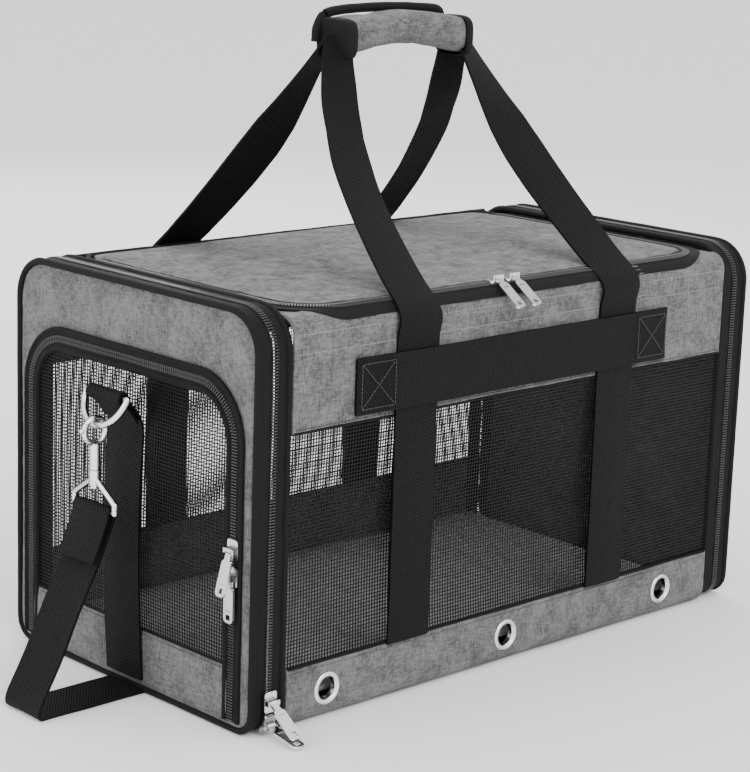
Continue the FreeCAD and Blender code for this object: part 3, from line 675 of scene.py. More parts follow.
def threads(name, across, along, surface):
    """One set of parallel threads: a square bar, repeated, then laid on the slack surface."""
    count = int(across / MESH_PITCH)
    deselect()
    bpy.ops.mesh.primitive_cube_add(size=1)
    bar = bpy.context.object
    bar.name = name
    bar.scale = (along, MESH_THREAD, MESH_THREAD)
    bpy.ops.object.transform_apply(location=True, rotation=True, scale=True)
    bpy.ops.object.mode_set(mode="EDIT")
    bpy.ops.mesh.select_all(action="DESELECT")
    bpy.ops.mesh.select_mode(type="EDGE")
    bpy.ops.object.mode_set(mode="OBJECT")
    for edge in bar.data.edges:
        a, b = (bar.data.vertices[i].co for i in edge.vertices)
        edge.select = abs(a.x - b.x) > along / 2
    bpy.ops.object.mode_set(mode="EDIT")
    bpy.ops.mesh.subdivide(number_cuts=9)
    bpy.ops.object.mode_set(mode="OBJECT")
    rows = bar.modifiers.new("rows", "ARRAY")
    rows.count = count
    rows.use_relative_offset = False
    rows.use_constant_offset = True
    rows.constant_offset_displace = (0, MESH_PITCH, 0)
    bpy.ops.object.modifier_apply(modifier=rows.name)
    start = -(count - 1) * MESH_PITCH / 2
    for vertex in bar.data.vertices:
        vertex.co = surface(vertex.co.x, vertex.co.y + start, vertex.co.z)
    return bar


def mesh_panel(name, width, height, surface):
    """Both sets of threads, joined. surface(a, b, c): a across, b up, c through the cloth."""
    warp = threads(name, height, width, surface)
    weft = threads(name + "_weft", width, height, lambda x, y, z: surface(y, x, z + MESH_THREAD * 0.35))
    deselect()
    weft.select_set(True)
    warp.select_set(True)
    bpy.context.view_layer.objects.active = warp
    bpy.ops.object.join()
    warp.data.materials.clear()
    warp.data.materials.append(mesh_look)
    return warp


def side_surface(side, low, high):
    middle = (low + high) / 2
    half = (high - low) / 2

    def surface(a, b, c):
        slack = 0.0035 * (1 - (a / BODY_X) ** 2) * (1 - (b / half) ** 2)
        slack += 0.0008 * noise.noise(Vector((a * 14, b * 14, side)))
        return Vector((a, side * (HALF - 0.0022 - slack - c), middle + b))

    return surface


front_mesh = mesh_panel("front_mesh_cloth", 2 * BODY_X + 0.003, MESH_TOP - SILL_TOP + 0.006,
                        side_surface(-1, SILL_TOP - 0.003, MESH_TOP + 0.003))
back_mesh = mesh_panel("back_mesh_cloth", 2 * BODY_X + 0.003, MESH_TOP - BACK_SILL_TOP + 0.006,
                       side_surface(1, BACK_SILL_TOP - 0.003, MESH_TOP + 0.003))
finish_piece(front_mesh, "bag_body", "mesh", "front_mesh")
finish_piece(back_mesh, "bag_body", "mesh", "back_mesh")
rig.sheet(front_mesh, flat=(MESH_TOP - SILL_TOP + 0.006, 2 * BODY_X), held="stretched",
         rests_on=[front_band, front_sill])
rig.sheet(back_mesh, flat=(MESH_TOP - BACK_SILL_TOP + 0.006, 2 * BODY_X), held="stretched",
         rests_on=[back_band, back_sill])

# ---- Webbing: how a strap is laid out, and the webbing on the long sides ---------------------------
# Black polyester webbing, 38 mm wide, sewn flat to both long walls from the foot of the bag up to the
# shoulder. It carries on as the carry handles.
WEB_WIDTH = 2 * WEB_HALF
WEB_THICK = 0.0018


def build_rib_group():
    """Webbing: raised bumps in staggered rows, rounded selvedges, and light specks on the bump tops that are a painted
    sheen.
    """
    tree, given, out = group_of("ribbed_weave", [("Width", "NodeSocketFloat", 0.038)], [
        ("Height", "NodeSocketFloat"), ("Painted sheen", "NodeSocketFloat")])
    place = tree.nodes.new("ShaderNodeTexCoord")
    split = tree.nodes.new("ShaderNodeSeparateXYZ")
    tree.links.new(place.outputs["UV"], split.inputs[0])
    along = maths(tree, "SINE", maths(tree, "MULTIPLY", split.outputs[0], 2 * math.pi * 420))
    row = maths(tree, "SINE", maths(tree, "MULTIPLY", split.outputs[1], 2 * math.pi * 330))
    bumps = maths(tree, "MULTIPLY", along, row)
    edge = maths(tree, "ABSOLUTE", maths(tree, "SUBTRACT", maths(
        tree, "DIVIDE", split.outputs[1], given.outputs["Width"]), 0.5))
    selvedge = maths(tree, "GREATER_THAN", edge, 0.455)
    height = maths(tree, "MULTIPLY_ADD", selvedge, 0.8, bumps)
    fuzz = tree.nodes.new("ShaderNodeTexNoise")
    fuzz.inputs["Scale"].default_value = 900
    tree.links.new(place.outputs["Object"], fuzz.inputs["Vector"])
    tree.links.new(maths(tree, "MULTIPLY_ADD", fuzz.outputs["Fac"], 0.7, height), out.inputs["Height"])
    # Painted sheen: light specks only where the raised bumps are highest, in place of highlights on the fibres.
    painted_sheen = maths(tree, "MULTIPLY", maths(tree, "GREATER_THAN", bumps, 0.35), fuzz.outputs["Fac"])
    tree.links.new(painted_sheen, out.inputs["Painted sheen"])
    return tree


rib_group = build_rib_group()


def blend_colours(material, factor, low, high):
    mix = material.node_tree.nodes.new("ShaderNodeMix")
    mix.data_type = "RGBA"
    mix.inputs[6].default_value = (low, low, low, 1)
    mix.inputs[7].default_value = (high, high, high * 1.02, 1)
    material.node_tree.links.new(factor, mix.inputs[0])
    material.node_tree.links.new(mix.outputs[2], principled(material).inputs["Base Color"])


black_webbing = new_material("black_webbing")
ribs = use_group(black_webbing, rib_group)
bump_from(black_webbing, ribs.outputs["Height"], 0.9, 0.00045)
# The painted sheen specks on the bump tops lift the base colour here.
blend_colours(black_webbing, ribs.outputs["Painted sheen"], 0.0018, 0.024)
principled(black_webbing).inputs["Roughness"].default_value = 0.62
principled(black_webbing).inputs["Specular IOR Level"].default_value = 0.12


def distances(points):
    """Distance from the first point to each point, along the line."""
    far = [0.0]
    for a, b in zip(points, points[1:]):
        far.append(far[-1] + (b - a).length)
    return far


def curve_through(points, count):
    """Evenly spaced points on a smooth curve through the given ones."""
    ends = [2 * points[0] - points[1]] + list(points) + [2 * points[-1] - points[-2]]
    fine = []
    for i in range(1, len(ends) - 2):
        a, b, c, d = ends[i - 1:i + 3]
        for step in range(24):
            t = step / 24
            fine.append(0.5 * (2 * b + (c - a) * t + (2 * a - 5 * b + 4 * c - d) * t * t
                               + (3 * b - a - 3 * c + d) * t ** 3))
    fine.append(points[-1].copy())
    far = distances(fine)
    even, k = [], 0
    for i in range(count):
        want = far[-1] * i / (count - 1)
        while k < len(far) - 2 and far[k + 1] < want:
            k += 1
        t = (want - far[k]) / max(far[k + 1] - far[k], 1e-9)
        even.append(fine[k].lerp(fine[k + 1], min(max(t, 0.0), 1.0)))
    return even


def length_of(points):
    return distances(points)[-1]


def scale_uv(piece, long, wide):
    for loop in piece.data.uv_layers.active.data:
        loop.uv = (loop.uv[0] * long, loop.uv[1] * wide)


def ribbon(name, points, across, width=WEB_WIDTH, thickness=WEB_THICK, material=black_webbing,
           columns=80, rows=10, shape=None, smooth=True):
    """A strap along points. across is its crosswise direction; shape(u) gives its share of the width."""
    line = curve_through(points, columns + 1) if smooth else points

    def place(u, v):
        i = min(int(round(u * columns)), columns)
        side = across(u) if callable(across) else across
        share = shape(u) if shape else 1.0
        ahead = (line[min(i + 1, columns)] - line[max(i - 1, 0)]).normalized()
        up = side.cross(ahead).normalized()
        wave = 0.0004 * noise.noise(line[i] * 40)
        crown = 0.0005 * (1 - (2 * v - 1) ** 2)
        return line[i] + side * ((v - 0.5) * width * share + wave) + up * crown

    piece = lay_out(name, columns, rows, place, thickness, material)
    scale_uv(piece, length_of(line), width)
    return piece


UP = Vector((0, 0, 1))
ALONG = Vector((1, 0, 0))
ACROSS = Vector((0, 1, 0))


def join_all(name, parts):
    deselect()
    for part in parts:
        part.select_set(True)
    bpy.context.view_layer.objects.active = parts[0]
    bpy.ops.object.join()
    parts[0].name = name
    return parts[0]


STRAP_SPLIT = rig.box("luggage_band")[1][2] - 0.002
side_strips = []
for side in (-1, 1):
    for x in LEGS_X:
        surface = side * (HALF + 0.0012)
        foot_z = SILL_TOP if side < 0 else BACK_SILL_TOP
        way = [Vector((x, surface - side * 0.0006, foot_z - 0.001)), Vector((x, surface, foot_z + 0.012)),
               Vector((x, surface + side * 0.0003, 0.12)),
               Vector((x, surface, 0.2)), Vector((x, surface, STRAP_SPLIT + 0.001))]
        side_strips.append(ribbon("strip", way, ALONG * -side, columns=60))
side_straps = join_all("side_straps", side_strips)
finish_piece(side_straps, "bag_body", "webbing", "side_webbing")

# ---- Stitching ------------------------------------------------------------------------------------
# Lockstitch rows: short rounded lengths of thread that lie on the cloth.
def thread(name, low, high):
    material = new_material(name)
    fuzz = material.node_tree.nodes.new("ShaderNodeTexNoise")
    fuzz.inputs["Scale"].default_value = 1500
    blend_colours(material, fuzz.outputs["Fac"], low, high)
    return material


thread_dark = thread("dark_thread", 0.01, 0.05)
thread_light = thread("light_thread", 0.16, 0.32)


def frame_at(line, far, s):
    """Place and forward direction at distance s along a polyline."""
    low, high = 0, len(far) - 2
    while low < high:
        half = (low + high + 1) // 2
        if far[half] <= s:
            low = half
        else:
            high = half - 1
    t = (s - far[low]) / max(far[low + 1] - far[low], 1e-9)
    ahead = (line[low + 1] - line[low]).normalized()
    return line[low].lerp(line[low + 1], min(max(t, 0.0), 1.0)), ahead


def evenly(line, count):
    """The same line as count steps of equal length."""
    far = distances(line)
    return [frame_at(line, far, far[-1] * i / count)[0] for i in range(count + 1)]


def repeat_along(name, line, out_at, size, pitch, material, raised=0.0):
    """One small rounded bar, repeated along a line and lying on the surface whose normal is out_at."""
    far = distances(line)
    count = max(int(far[-1] / pitch), 1)
    deselect()
    bpy.ops.mesh.primitive_cube_add(size=1)
    unit = bpy.context.object
    unit.name = name
    unit.scale = size
    bpy.ops.object.transform_apply(location=True, rotation=True, scale=True)
    soft = unit.modifiers.new("soft", "BEVEL")
    soft.width = min(size) * 0.3
    soft.segments = 1
    bpy.ops.object.modifier_apply(modifier=soft.name)
    rows = unit.modifiers.new("rows", "ARRAY")
    rows.count = count
    rows.use_relative_offset = False
    rows.use_constant_offset = True
    rows.constant_offset_displace = (pitch, 0, 0)
    bpy.ops.object.modifier_apply(modifier=rows.name)
    for vertex in unit.data.vertices:
        s = min(max(vertex.co.x + pitch / 2, 0.0), far[-1])
        place, ahead = frame_at(line, far, s)
        up = out_at(place).normalized()
        side = up.cross(ahead).normalized()
        vertex.co = place + side * vertex.co.y + up * (vertex.co.z + raised)
    bpy.ops.object.shade_smooth_by_angle(angle=math.radians(40))
    unit.data.materials.clear()
    unit.data.materials.append(material)
    return unit


def straight(a, b, count=2):
    a, b = Vector(a), Vector(b)
    return [a.lerp(b, i / (count - 1)) for i in range(count)]


STITCH = (0.0023, 0.0006, 0.0005)
STITCH_PITCH = 0.0032
BAND_ROWS_Z = (0.2615, 0.2490)
band_rows = []
for height in BAND_ROWS_Z:
    for side in (-1, 1):
        band_rows.append(repeat_along(
            "row", straight((-BODY_X + 0.003, side * (HALF + 0.0001), height),
                            (BODY_X - 0.003, side * (HALF + 0.0001), height)),
            lambda p: Vector((0, p.y, 0)), STITCH, STITCH_PITCH, thread_light))
band_stitching = join_all("band_stitching", band_rows)
finish_piece(band_stitching, "bag_body", "grey_cloth")
sill_rows = []
for side, height in ((-1, SILL_TOP), (-1, MESH_TOP + 0.006), (1, BACK_SILL_TOP), (1, MESH_TOP + 0.006)):
    sill_rows.append(repeat_along(
        "row", straight((-BODY_X + 0.002, side * HALF, height - 0.0035),
                        (BODY_X - 0.002, side * HALF, height - 0.0035)),
        lambda p: Vector((0, p.y, 0)), STITCH, STITCH_PITCH, thread_dark))
sill_stitching = join_all("sill_stitching", sill_rows)
finish_piece(sill_stitching, "bag_body", "grey_cloth")

# ---- Seam bindings along the mesh windows -----------------------------------------------------------
# A thin black binding covers the cut edge of the cloth where the mesh is sewn in.
black_tape = new_material("black_tape")
tape_weave = use_group(black_tape, weave_group)
tape_weave.inputs["Threads per metre"].default_value = 1100
bump_from(black_tape, tape_weave.outputs["Height"], 0.6, 0.00025)
blend_colours(black_tape, tape_weave.outputs["Fibre"], 0.002, 0.010)
principled(black_tape).inputs["Roughness"].default_value = 0.7
principled(black_tape).inputs["Specular IOR Level"].default_value = 0.15


def tube_along(name, line, radius, material, closed=False, sides=10, uneven=0.0):
    """A cord or rolled edge: a round section carried along a line."""
    count = len(line) - 1

    def place(u, v):
        i = int(round(u * count))
        if closed:
            before, after = line[(i - 1) % count], line[(i + 1) % count]
        else:
            before, after = line[max(i - 1, 0)], line[min(i + 1, count)]
        ahead = (after - before).normalized()
        rest = UP if abs(ahead.z) < 0.9 and abs(ahead.x) > 0.9 else ALONG
        side = ahead.cross(rest).normalized()
        up = side.cross(ahead).normalized()
        turn = 2 * math.pi * v
        r = radius * (1 + uneven * noise.noise(line[i % count if closed else i] * 60))
        return line[i % count if closed else i] + side * (r * math.cos(turn)) + up * (r * math.sin(turn))

    return lay_out(name, count, sides, place, 0.0, material, closed=True)


edge_lines = []
for side, height in ((-1, SILL_TOP), (-1, MESH_TOP), (1, BACK_SILL_TOP), (1, MESH_TOP)):
    edge_lines.append(tube_along("edge", straight((-BODY_X + 0.001, side * (HALF - 0.0008), height),
                                                  (BODY_X - 0.001, side * (HALF - 0.0008), height), 30),
                                 0.0012, black_tape, sides=6))
mesh_binding = join_all("mesh_binding", edge_lines)
finish_piece(mesh_binding, "bag_body", "zip_tape")

# ---- End rings: piping, zip tapes and teeth ---------------------------------------------------------
# A coil zip runs round each end between two corded seams. One tape is sewn to the bag and the other to
# the end panel, which folds down about its foot.
PIPE_R = 0.0025
TOP_R = 0.030
FOOT_R = 0.016
ZIP_FROM_PIPE = 0.0125
SEAM_X = abs((ring_low[0] + ring_high[0]) / 2 + ZIP_FROM_PIPE)
RING_END = abs(ring_low[0])
TAPE_INSET = 0.0018
TEETH_INSET = 0.0012


def ring_line(x, inset, count=220):
    """Rounded outline of an end ring, inset from its outside, starting under the middle."""
    half, low, high = HALF - inset, inset, TOP - inset
    r_top, r_low = TOP_R - inset, FOOT_R - inset
    corners = [(half - r_low, low + r_low, r_low, -90), (half - r_top, high - r_top, r_top, 0),
               (-half + r_top, high - r_top, r_top, 90), (-half + r_low, low + r_low, r_low, 180)]
    raw = [Vector((x, 0, low))]
    for y, z, r, start in corners:
        for step in range(13):
            a = math.radians(start + 90 * step / 12)
            raw.append(Vector((x, y + r * math.cos(a), z + r * math.sin(a))))
    raw.append(Vector((x, 0, low)))
    return evenly(raw, count)


def ring_out(point):
    """Outward direction of an end ring at a point on it."""
    z = point.z
    corner_z = FOOT_R if z < FOOT_R else (TOP - TOP_R if z > TOP - TOP_R else None)
    r = FOOT_R if z < FOOT_R else TOP_R
    dy = max(abs(point.y) - (HALF - r), 0.0) * (1 if point.y > 0 else -1)
    if corner_z is None:
        return Vector((0, 1 if point.y > 0 else -1, 0))
    return Vector((0, dy, z - corner_z))


def ring_tape(name, x0, x1, inset, material=black_tape, thickness=0.0012):
    line = ring_line(0, inset)
    count = len(line) - 1

    def place(u, v):
        i = int(round(u * count)) % count
        p = line[i].copy()
        p.x = x0 + (x1 - x0) * v
        out = ring_out(p).normalized()
        return p + out * (0.0004 * noise.noise(p * 70) - 0.0005 * (2 * v - 1) ** 2)

    return lay_out(name, count, 6, place, thickness, material, closed=True)


coil = new_material("zip_coil")
coil_noise = coil.node_tree.nodes.new("ShaderNodeTexNoise")
coil_noise.inputs["Scale"].default_value = 500
blend_colours(coil, coil_noise.outputs["Fac"], 0.006, 0.03)
principled(coil).inputs["Roughness"].default_value = 0.28
principled(coil).inputs["Specular IOR Level"].default_value = 0.45
principled(coil).inputs["Coat Weight"].default_value = 0.25

TOOTH = (0.0011, 0.0027, 0.0016)
TOOTH_PITCH = 0.0020
body_pipes = []
for end, way in (("near", -1), ("far", 1)):
    body = end + "_end"
    seam = way * SEAM_X
    tape_body = ring_tape(end + "_ring_tape", seam - way * 0.0012, way * (BODY_X + 0.0045), TAPE_INSET)
    tape_panel = ring_tape(end + "_panel_tape", seam + way * 0.0012, way * (RING_END - 0.0045), TAPE_INSET)
    teeth_body = repeat_along(end + "_ring_teeth", ring_line(seam - way * 0.0013, TEETH_INSET), ring_out,
                              TOOTH, TOOTH_PITCH, coil)
    teeth_panel = repeat_along(end + "_panel_teeth", ring_line(seam + way * 0.0013, TEETH_INSET), ring_out,
                               TOOTH, TOOTH_PITCH, coil)
    finish_piece(tape_body, "bag_body", "zip_tape", end + "_ring_gusset")
    finish_piece(teeth_body, "bag_body", "zip_tape")
    finish_piece(tape_panel, body, "zip_tape", end + "_panel_gusset")
    finish_piece(teeth_panel, body, "zip_tape")
    pipe = tube_along(end + "_panel_cord", ring_line(way * (RING_END - PIPE_R), PIPE_R), PIPE_R,
                      black_tape, closed=True, uneven=0.05)
    finish_piece(pipe, body, "piping", end + "_panel_piping")
    body_pipes.append(tube_along(end + "_body_cord", ring_line(way * (BODY_X + PIPE_R), PIPE_R), PIPE_R,
                                 black_tape, closed=True, uneven=0.05))
ring_cords = join_all("ring_cords", body_pipes)
finish_piece(ring_cords, "bag_body", "piping", "ring_piping")

# ---- End panels -------------------------------------------------------------------------------------
# Grey cloth over thin foam. The door end has a large arched opening; the other end is plain.
PANEL_X = RING_END - 0.0024
PANEL_INSET = 0.0045
door_low, door_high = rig.box("door_surround")
DOOR_HALF = door_high[1]
DOOR_TOP = door_high[2]
DOOR_FOOT = door_low[2]
DOOR_FACE = door_low[0]
DOOR_R = 0.045
CUT_INSET = 0.007


def outline_point(t, half, low, high, r_top, r_low):
    """Point on a rounded outline in Y and Z; equal t on two outlines are opposite each other."""
    marks = (0.0, 0.2, 0.24, 0.46, 0.5, 0.7, 0.74, 0.96, 1.0)
    side = ((-half + r_low, low), (half - r_low, low), (half, low + r_low), (half, high - r_top),
            (half - r_top, high), (-half + r_top, high), (-half, high - r_top), (-half, low + r_low),
            (-half + r_low, low))
    centre = {1: (half - r_low, low + r_low, r_low, -90), 3: (half - r_top, high - r_top, r_top, 0),
              5: (-half + r_top, high - r_top, r_top, 90), 7: (-half + r_low, low + r_low, r_low, 180)}
    t = t % 1.0
    k = max(i for i in range(8) if marks[i] <= t)
    share = (t - marks[k]) / (marks[k + 1] - marks[k])
    if k in centre:
        y, z, r, start = centre[k]
        a = math.radians(start + 90 * share)
        return y + r * math.cos(a), z + r * math.sin(a)
    a, b = side[k], side[k + 1]
    return a[0] + (b[0] - a[0]) * share, a[1] + (b[1] - a[1]) * share


def panel_place(way, inner):
    def place(u, v):
        y0, z0 = outline_point(u, HALF - PANEL_INSET, PANEL_INSET, TOP - PANEL_INSET, TOP_R - PANEL_INSET,
                               FOOT_R - PANEL_INSET)
        y1, z1 = inner(u)
        y, z = y0 + (y1 - y0) * v, z0 + (z1 - z0) * v
        edge = min(v, 1 - v if inner is not middle else 1.0)
        puff = 0.0016 * min(1.0, edge * 5) + ripple(y, z, way, 0.05, 0.0011) * min(1.0, edge * 6)
        tight = 0.0004 * math.sin(y * 420 + z * 380) * math.exp(-edge * 18)
        return Vector((way * (PANEL_X - 0.0016 + puff + tight), y, z))

    return place


def opening(u):
    return outline_point(u, DOOR_HALF - CUT_INSET, DOOR_FOOT, DOOR_TOP - CUT_INSET, DOOR_R - CUT_INSET, 0.001)


def middle(u):
    return 0.0, 0.15


near_panel = lay_out("near_end_cloth", 250, 14, panel_place(-1, opening), CLOTH, grey_cloth, closed=True)
far_panel = lay_out("far_end_cloth", 200, 26, panel_place(1, middle), CLOTH, grey_cloth, closed=True)
finish_piece(near_panel, "near_end", "grey_cloth", "near_end_panel")
finish_piece(far_panel, "far_end", "grey_cloth", "far_end_panel")
cut = (2 * HALF - 0.009, TOP - 0.009)
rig.sheet(near_panel, flat=cut, held="stretched", rests_on=["near_panel_cord"], area=0.305 * cut[0] * cut[1])
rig.sheet(far_panel, flat=cut, held="stretched", rests_on=["far_panel_cord"])

# ---- Door: zip, binding, mesh and cloth foot --------------------------------------------------------
# The door unzips round its arch and folds down. Its window is the same mesh, with a cloth strip below.


ARCH_STEPS = 160


def arch_line(inset, x):
    half, high, r = DOOR_HALF - inset, DOOR_TOP - inset, DOOR_R - inset
    raw = [Vector((x, -half, DOOR_FOOT))]
    for y, start in ((-half + r, 180), (half - r, 90)):
        for step in range(13):
            a = math.radians(start - 90 * step / 12)
            raw.append(Vector((x, y + r * math.cos(a), high - r + r * math.sin(a))))
    raw.append(Vector((x, half, DOOR_FOOT)))
    return evenly(raw, ARCH_STEPS)


def arch_strip(name, inset0, inset1, x, bulge):
    first, last = arch_line(inset0, x), arch_line(inset1, x)

    def place(u, v):
        i = int(round(u * ARCH_STEPS))
        p = first[i].lerp(last[i], v)
        p.x -= bulge * (1 - (2 * v - 1) ** 2) + 0.0004 * noise.noise(p * 60)
        return p

    return lay_out(name, ARCH_STEPS, 6, place, 0.0012, black_tape)


def door_out(point):
    return Vector((-1, 0, 0))


window_low, window_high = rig.box("door_mesh")
surround = arch_strip("door_surround_tape", 0.0, 0.0075, DOOR_FACE + 0.0012, 0.0006)
surround_teeth = repeat_along("door_surround_teeth", arch_line(0.0068, DOOR_FACE + 0.0002), door_out, TOOTH,
                              TOOTH_PITCH, coil)
surround_roll = tube_along("door_surround_roll", arch_line(0.0012, DOOR_FACE + 0.0006), 0.0015, black_tape,
                           sides=8, uneven=0.1)
finish_piece(join_all("door_surround_strip", [surround, surround_roll]), "near_end", "zip_tape",
             "door_surround")
finish_piece(surround_teeth, "near_end", "zip_tape")
DOOR_BAND = DOOR_HALF - window_high[1]
door_strip = arch_strip("door_zip_tape", 0.0085, DOOR_BAND + 0.0005, DOOR_FACE + 0.0012, 0.0006)
door_roll = tube_along("door_roll", arch_line(DOOR_BAND - 0.0018, DOOR_FACE + 0.0006), 0.0019, black_tape,
                       sides=8, uneven=0.1)
door_teeth = repeat_along("door_teeth", arch_line(0.0094, DOOR_FACE + 0.0002), door_out, TOOTH, TOOTH_PITCH,
                          coil)
finish_piece(join_all("door_zip_strip", [door_strip, door_roll]), "door", "zip_tape", "door_tape")
finish_piece(door_teeth, "door", "zip_tape")

kick_low, kick_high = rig.box("door_kick_panel")


def kick_place(u, v):
    y = (kick_low[1] - 0.004) + (kick_high[1] - kick_low[1] + 0.008) * u
    z = kick_low[2] + (kick_high[2] - kick_low[2]) * v
    x = DOOR_FACE + 0.0014 - 0.0007 * math.sin(math.pi * v) + ripple(y, z, 9, 0.03, 0.0007)
    return Vector((x, y, z))


kick = lay_out("door_foot_cloth", 70, 16, kick_place, 0.0016, grey_cloth)
kick_row = repeat_along("row", straight((DOOR_FACE + 0.0002, kick_low[1], kick_high[2] - 0.003),
                                        (DOOR_FACE + 0.0002, kick_high[1], kick_high[2] - 0.003)),
                        door_out, STITCH, STITCH_PITCH, thread_dark)
kick_edge = tube_along("edge", straight((DOOR_FACE + 0.0008, kick_low[1], kick_high[2]),
                                        (DOOR_FACE + 0.0008, kick_high[1], kick_high[2]), 20),
                       0.0010, black_tape, sides=6)
finish_piece(kick, "door", "grey_cloth", "door_kick_panel")
finish_piece(join_all("door_foot_seam", [kick_row, kick_edge]), "door", "zip_tape")
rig.sheet(kick, flat=(kick_high[2] - kick_low[2], kick_high[1] - kick_low[1] + 0.008), held="stretched",
         rests_on=["door_zip_strip"])


def door_surface(a, b, c):
    half_w, half_h = (window_high[1] - window_low[1]) / 2, (window_high[2] - window_low[2]) / 2
    slack = 0.0022 * max(0.0, 1 - (a / half_w) ** 2) * max(0.0, 1 - (b / half_h) ** 2)
    x = DOOR_FACE + 0.0018 - slack - c + 0.0005 * noise.noise(Vector((a * 15, b * 15, 4)))
    return Vector((x, -a, (window_low[2] + window_high[2]) / 2 + b))


window = mesh_panel("door_mesh_cloth", window_high[1] - window_low[1] + 0.002,
                    window_high[2] - window_low[2] + 0.002, door_surface)
finish_piece(window, "door", "mesh", "door_mesh")
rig.sheet(window, flat=(window_high[2] - window_low[2], window_high[1] - window_low[1]), held="stretched",
         rests_on=["door_zip_strip"])

# ---- Webbing and loop that hold each D-ring ---------------------------------------------------------
# A strip of webbing runs up the middle of each end, a little slack, and folds round the D-ring's bar.
TAB_SHARE = 0.93
BAR = Vector((-0.2627, 0, 0.206))
LOOP_R = 0.0037


def end_webbing(name, way, skin):
    way_points = [Vector((skin - out, 0, z)) for out, z in (
        (0.0, 0.0095), (0.0024, 0.06), (0.0034, 0.105), (0.0024, 0.15), (0.0006, 0.178), (0.0018, 0.190),
        (0.0075, 0.1985))]
    for turn in range(8):
        a = math.radians(-20 + 32 * turn)
        way_points.append(BAR + Vector((LOOP_R * math.cos(a), 0, LOOP_R * math.sin(a))))
    way_points.append(Vector((skin - 0.0098, 0, 0.1965)))
    way_points.append(Vector((skin - 0.0042, 0, 0.188)))
    points = [Vector((p.x * -way, p.y, p.z)) for p in way_points]

    def shape(u):
        return 1.0 if u < 0.72 else 1.0 - (1.0 - TAB_SHARE) * min(1.0, (u - 0.72) / 0.05)

    return ribbon(name, points, ACROSS * way, columns=120, shape=shape)


near_tab = end_webbing("door_strap", -1, -0.2466)
far_tab = end_webbing("far_strap_anchor", 1, -0.2450)
finish_piece(near_tab, "door", "webbing", "door_webbing")
finish_piece(far_tab, "far_end", "webbing", "far_webbing")

# ---- Shoulder strap ---------------------------------------------------------------------------------
# One length of webbing, clipped to both D-rings. It hangs to the floor at each end and passes under
# the bag. Its ends are folded back round the clip's eye. It is made here as three pieces, because its
# ends move with the door and with the far end.
STRAP_STEPS = 150


def hanging_strap(name, way):
    side = [(-0.2873, 0.0985), (-0.2808, 0.1130), (-0.2758, 0.1265), (-0.2752, 0.1312), (-0.2725, 0.1338),
            (-0.2698, 0.1312), (-0.2710, 0.1255), (-0.2768, 0.1120), (-0.2835, 0.0970), (-0.2955, 0.0740),
            (-0.3085, 0.0470), (-0.3195, 0.0260), (-0.3280, 0.0110), (-0.3299, 0.0050), (-0.3285, 0.0013),
            (-0.3230, 0.0010), (-0.2900, 0.0010), (-0.2450, 0.0010)]
    points = [Vector((-way * x, 0, z)) for x, z in side]
    return ribbon(name, points, ACROSS * way, columns=STRAP_STEPS), curve_through(points, STRAP_STEPS + 1)


for end, way, body in (("near", -1, "door"), ("far", 1, "far_end")):
    strap, line = hanging_strap(end + "_shoulder_strap", way)
    finish_piece(strap, body, "webbing", end + "_strap")
    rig.cord(strap, exit=line[0], length=length_of(line), diameter=WEB_WIDTH, far_end="object",
            stiffness="medium", lay="hanging", path=line)
floor_line = [Vector((-0.245, 0, 0.0010)).lerp(Vector((0.245, 0, 0.0010)), i / 80) for i in range(81)]
floor_strap = ribbon("floor_shoulder_strap", floor_line, ACROSS, columns=80, smooth=False)
finish_piece(floor_strap, "bag_body", "webbing", "floor_strap")
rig.cord(floor_strap, exit=floor_line[0], length=length_of(floor_line), diameter=WEB_WIDTH, far_end="object",
        stiffness="medium", lay="loose", path=floor_line)

# ---- Luggage band -----------------------------------------------------------------------------------
# Webbing sewn across the front with a boxed cross at each end, open behind for a suitcase handle.
band_low, band_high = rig.box("luggage_band")
band_z = (band_low[2] + band_high[2]) / 2
band_y = (band_low[1] + band_high[1]) / 2
band_way = []
for share, out in ((0.0, 0.0012), (0.06, 0.0008), (0.14, 0.0), (0.26, 0.0), (0.5, 0.0004), (0.72, 0.0),
                   (0.88, 0.0), (0.95, 0.0008), (1.0, 0.0012)):
    band_way.append(Vector((band_low[0] + (band_high[0] - band_low[0]) * share, band_y + out, band_z)))
luggage = ribbon("luggage_strap", band_way, UP, columns=110)
crosses = []
for x0, x1 in ((band_low[0] + 0.003, band_low[0] + 0.033), (band_high[0] - 0.033, band_high[0] - 0.003)):
    z0, z1 = band_low[2] + 0.004, band_high[2] - 0.004
    y = band_low[1] - 0.0001
    for a, b in (((x0, z0), (x1, z0)), ((x1, z0), (x1, z1)), ((x1, z1), (x0, z1)), ((x0, z1), (x0, z0)),
                 ((x0, z0), (x1, z1)), ((x0, z1), (x1, z0))):
        crosses.append(repeat_along("row", straight((a[0], y, a[1]), (b[0], y, b[1])),
                                    lambda p: Vector((0, -1, 0)), STITCH, 0.0029, thread_dark))
luggage_crosses = join_all("luggage_stitching", crosses)
finish_piece(luggage, "bag_body", "webbing", "luggage_band")
finish_piece(luggage_crosses, "bag_body", "webbing")

# ---- Carry handles ----------------------------------------------------------------------------------
# The side webbing carries on as two handles. Each leg bunches a little where it enters the grip.
grip_low, grip_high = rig.box("grip_wrap")
GRIP_MID = (grip_low[0] + grip_high[0]) / 2 + 0.002
GRIP_Z = grip_high[2] - 0.0205
HINGE_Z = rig.box("front_handle")[0][2]


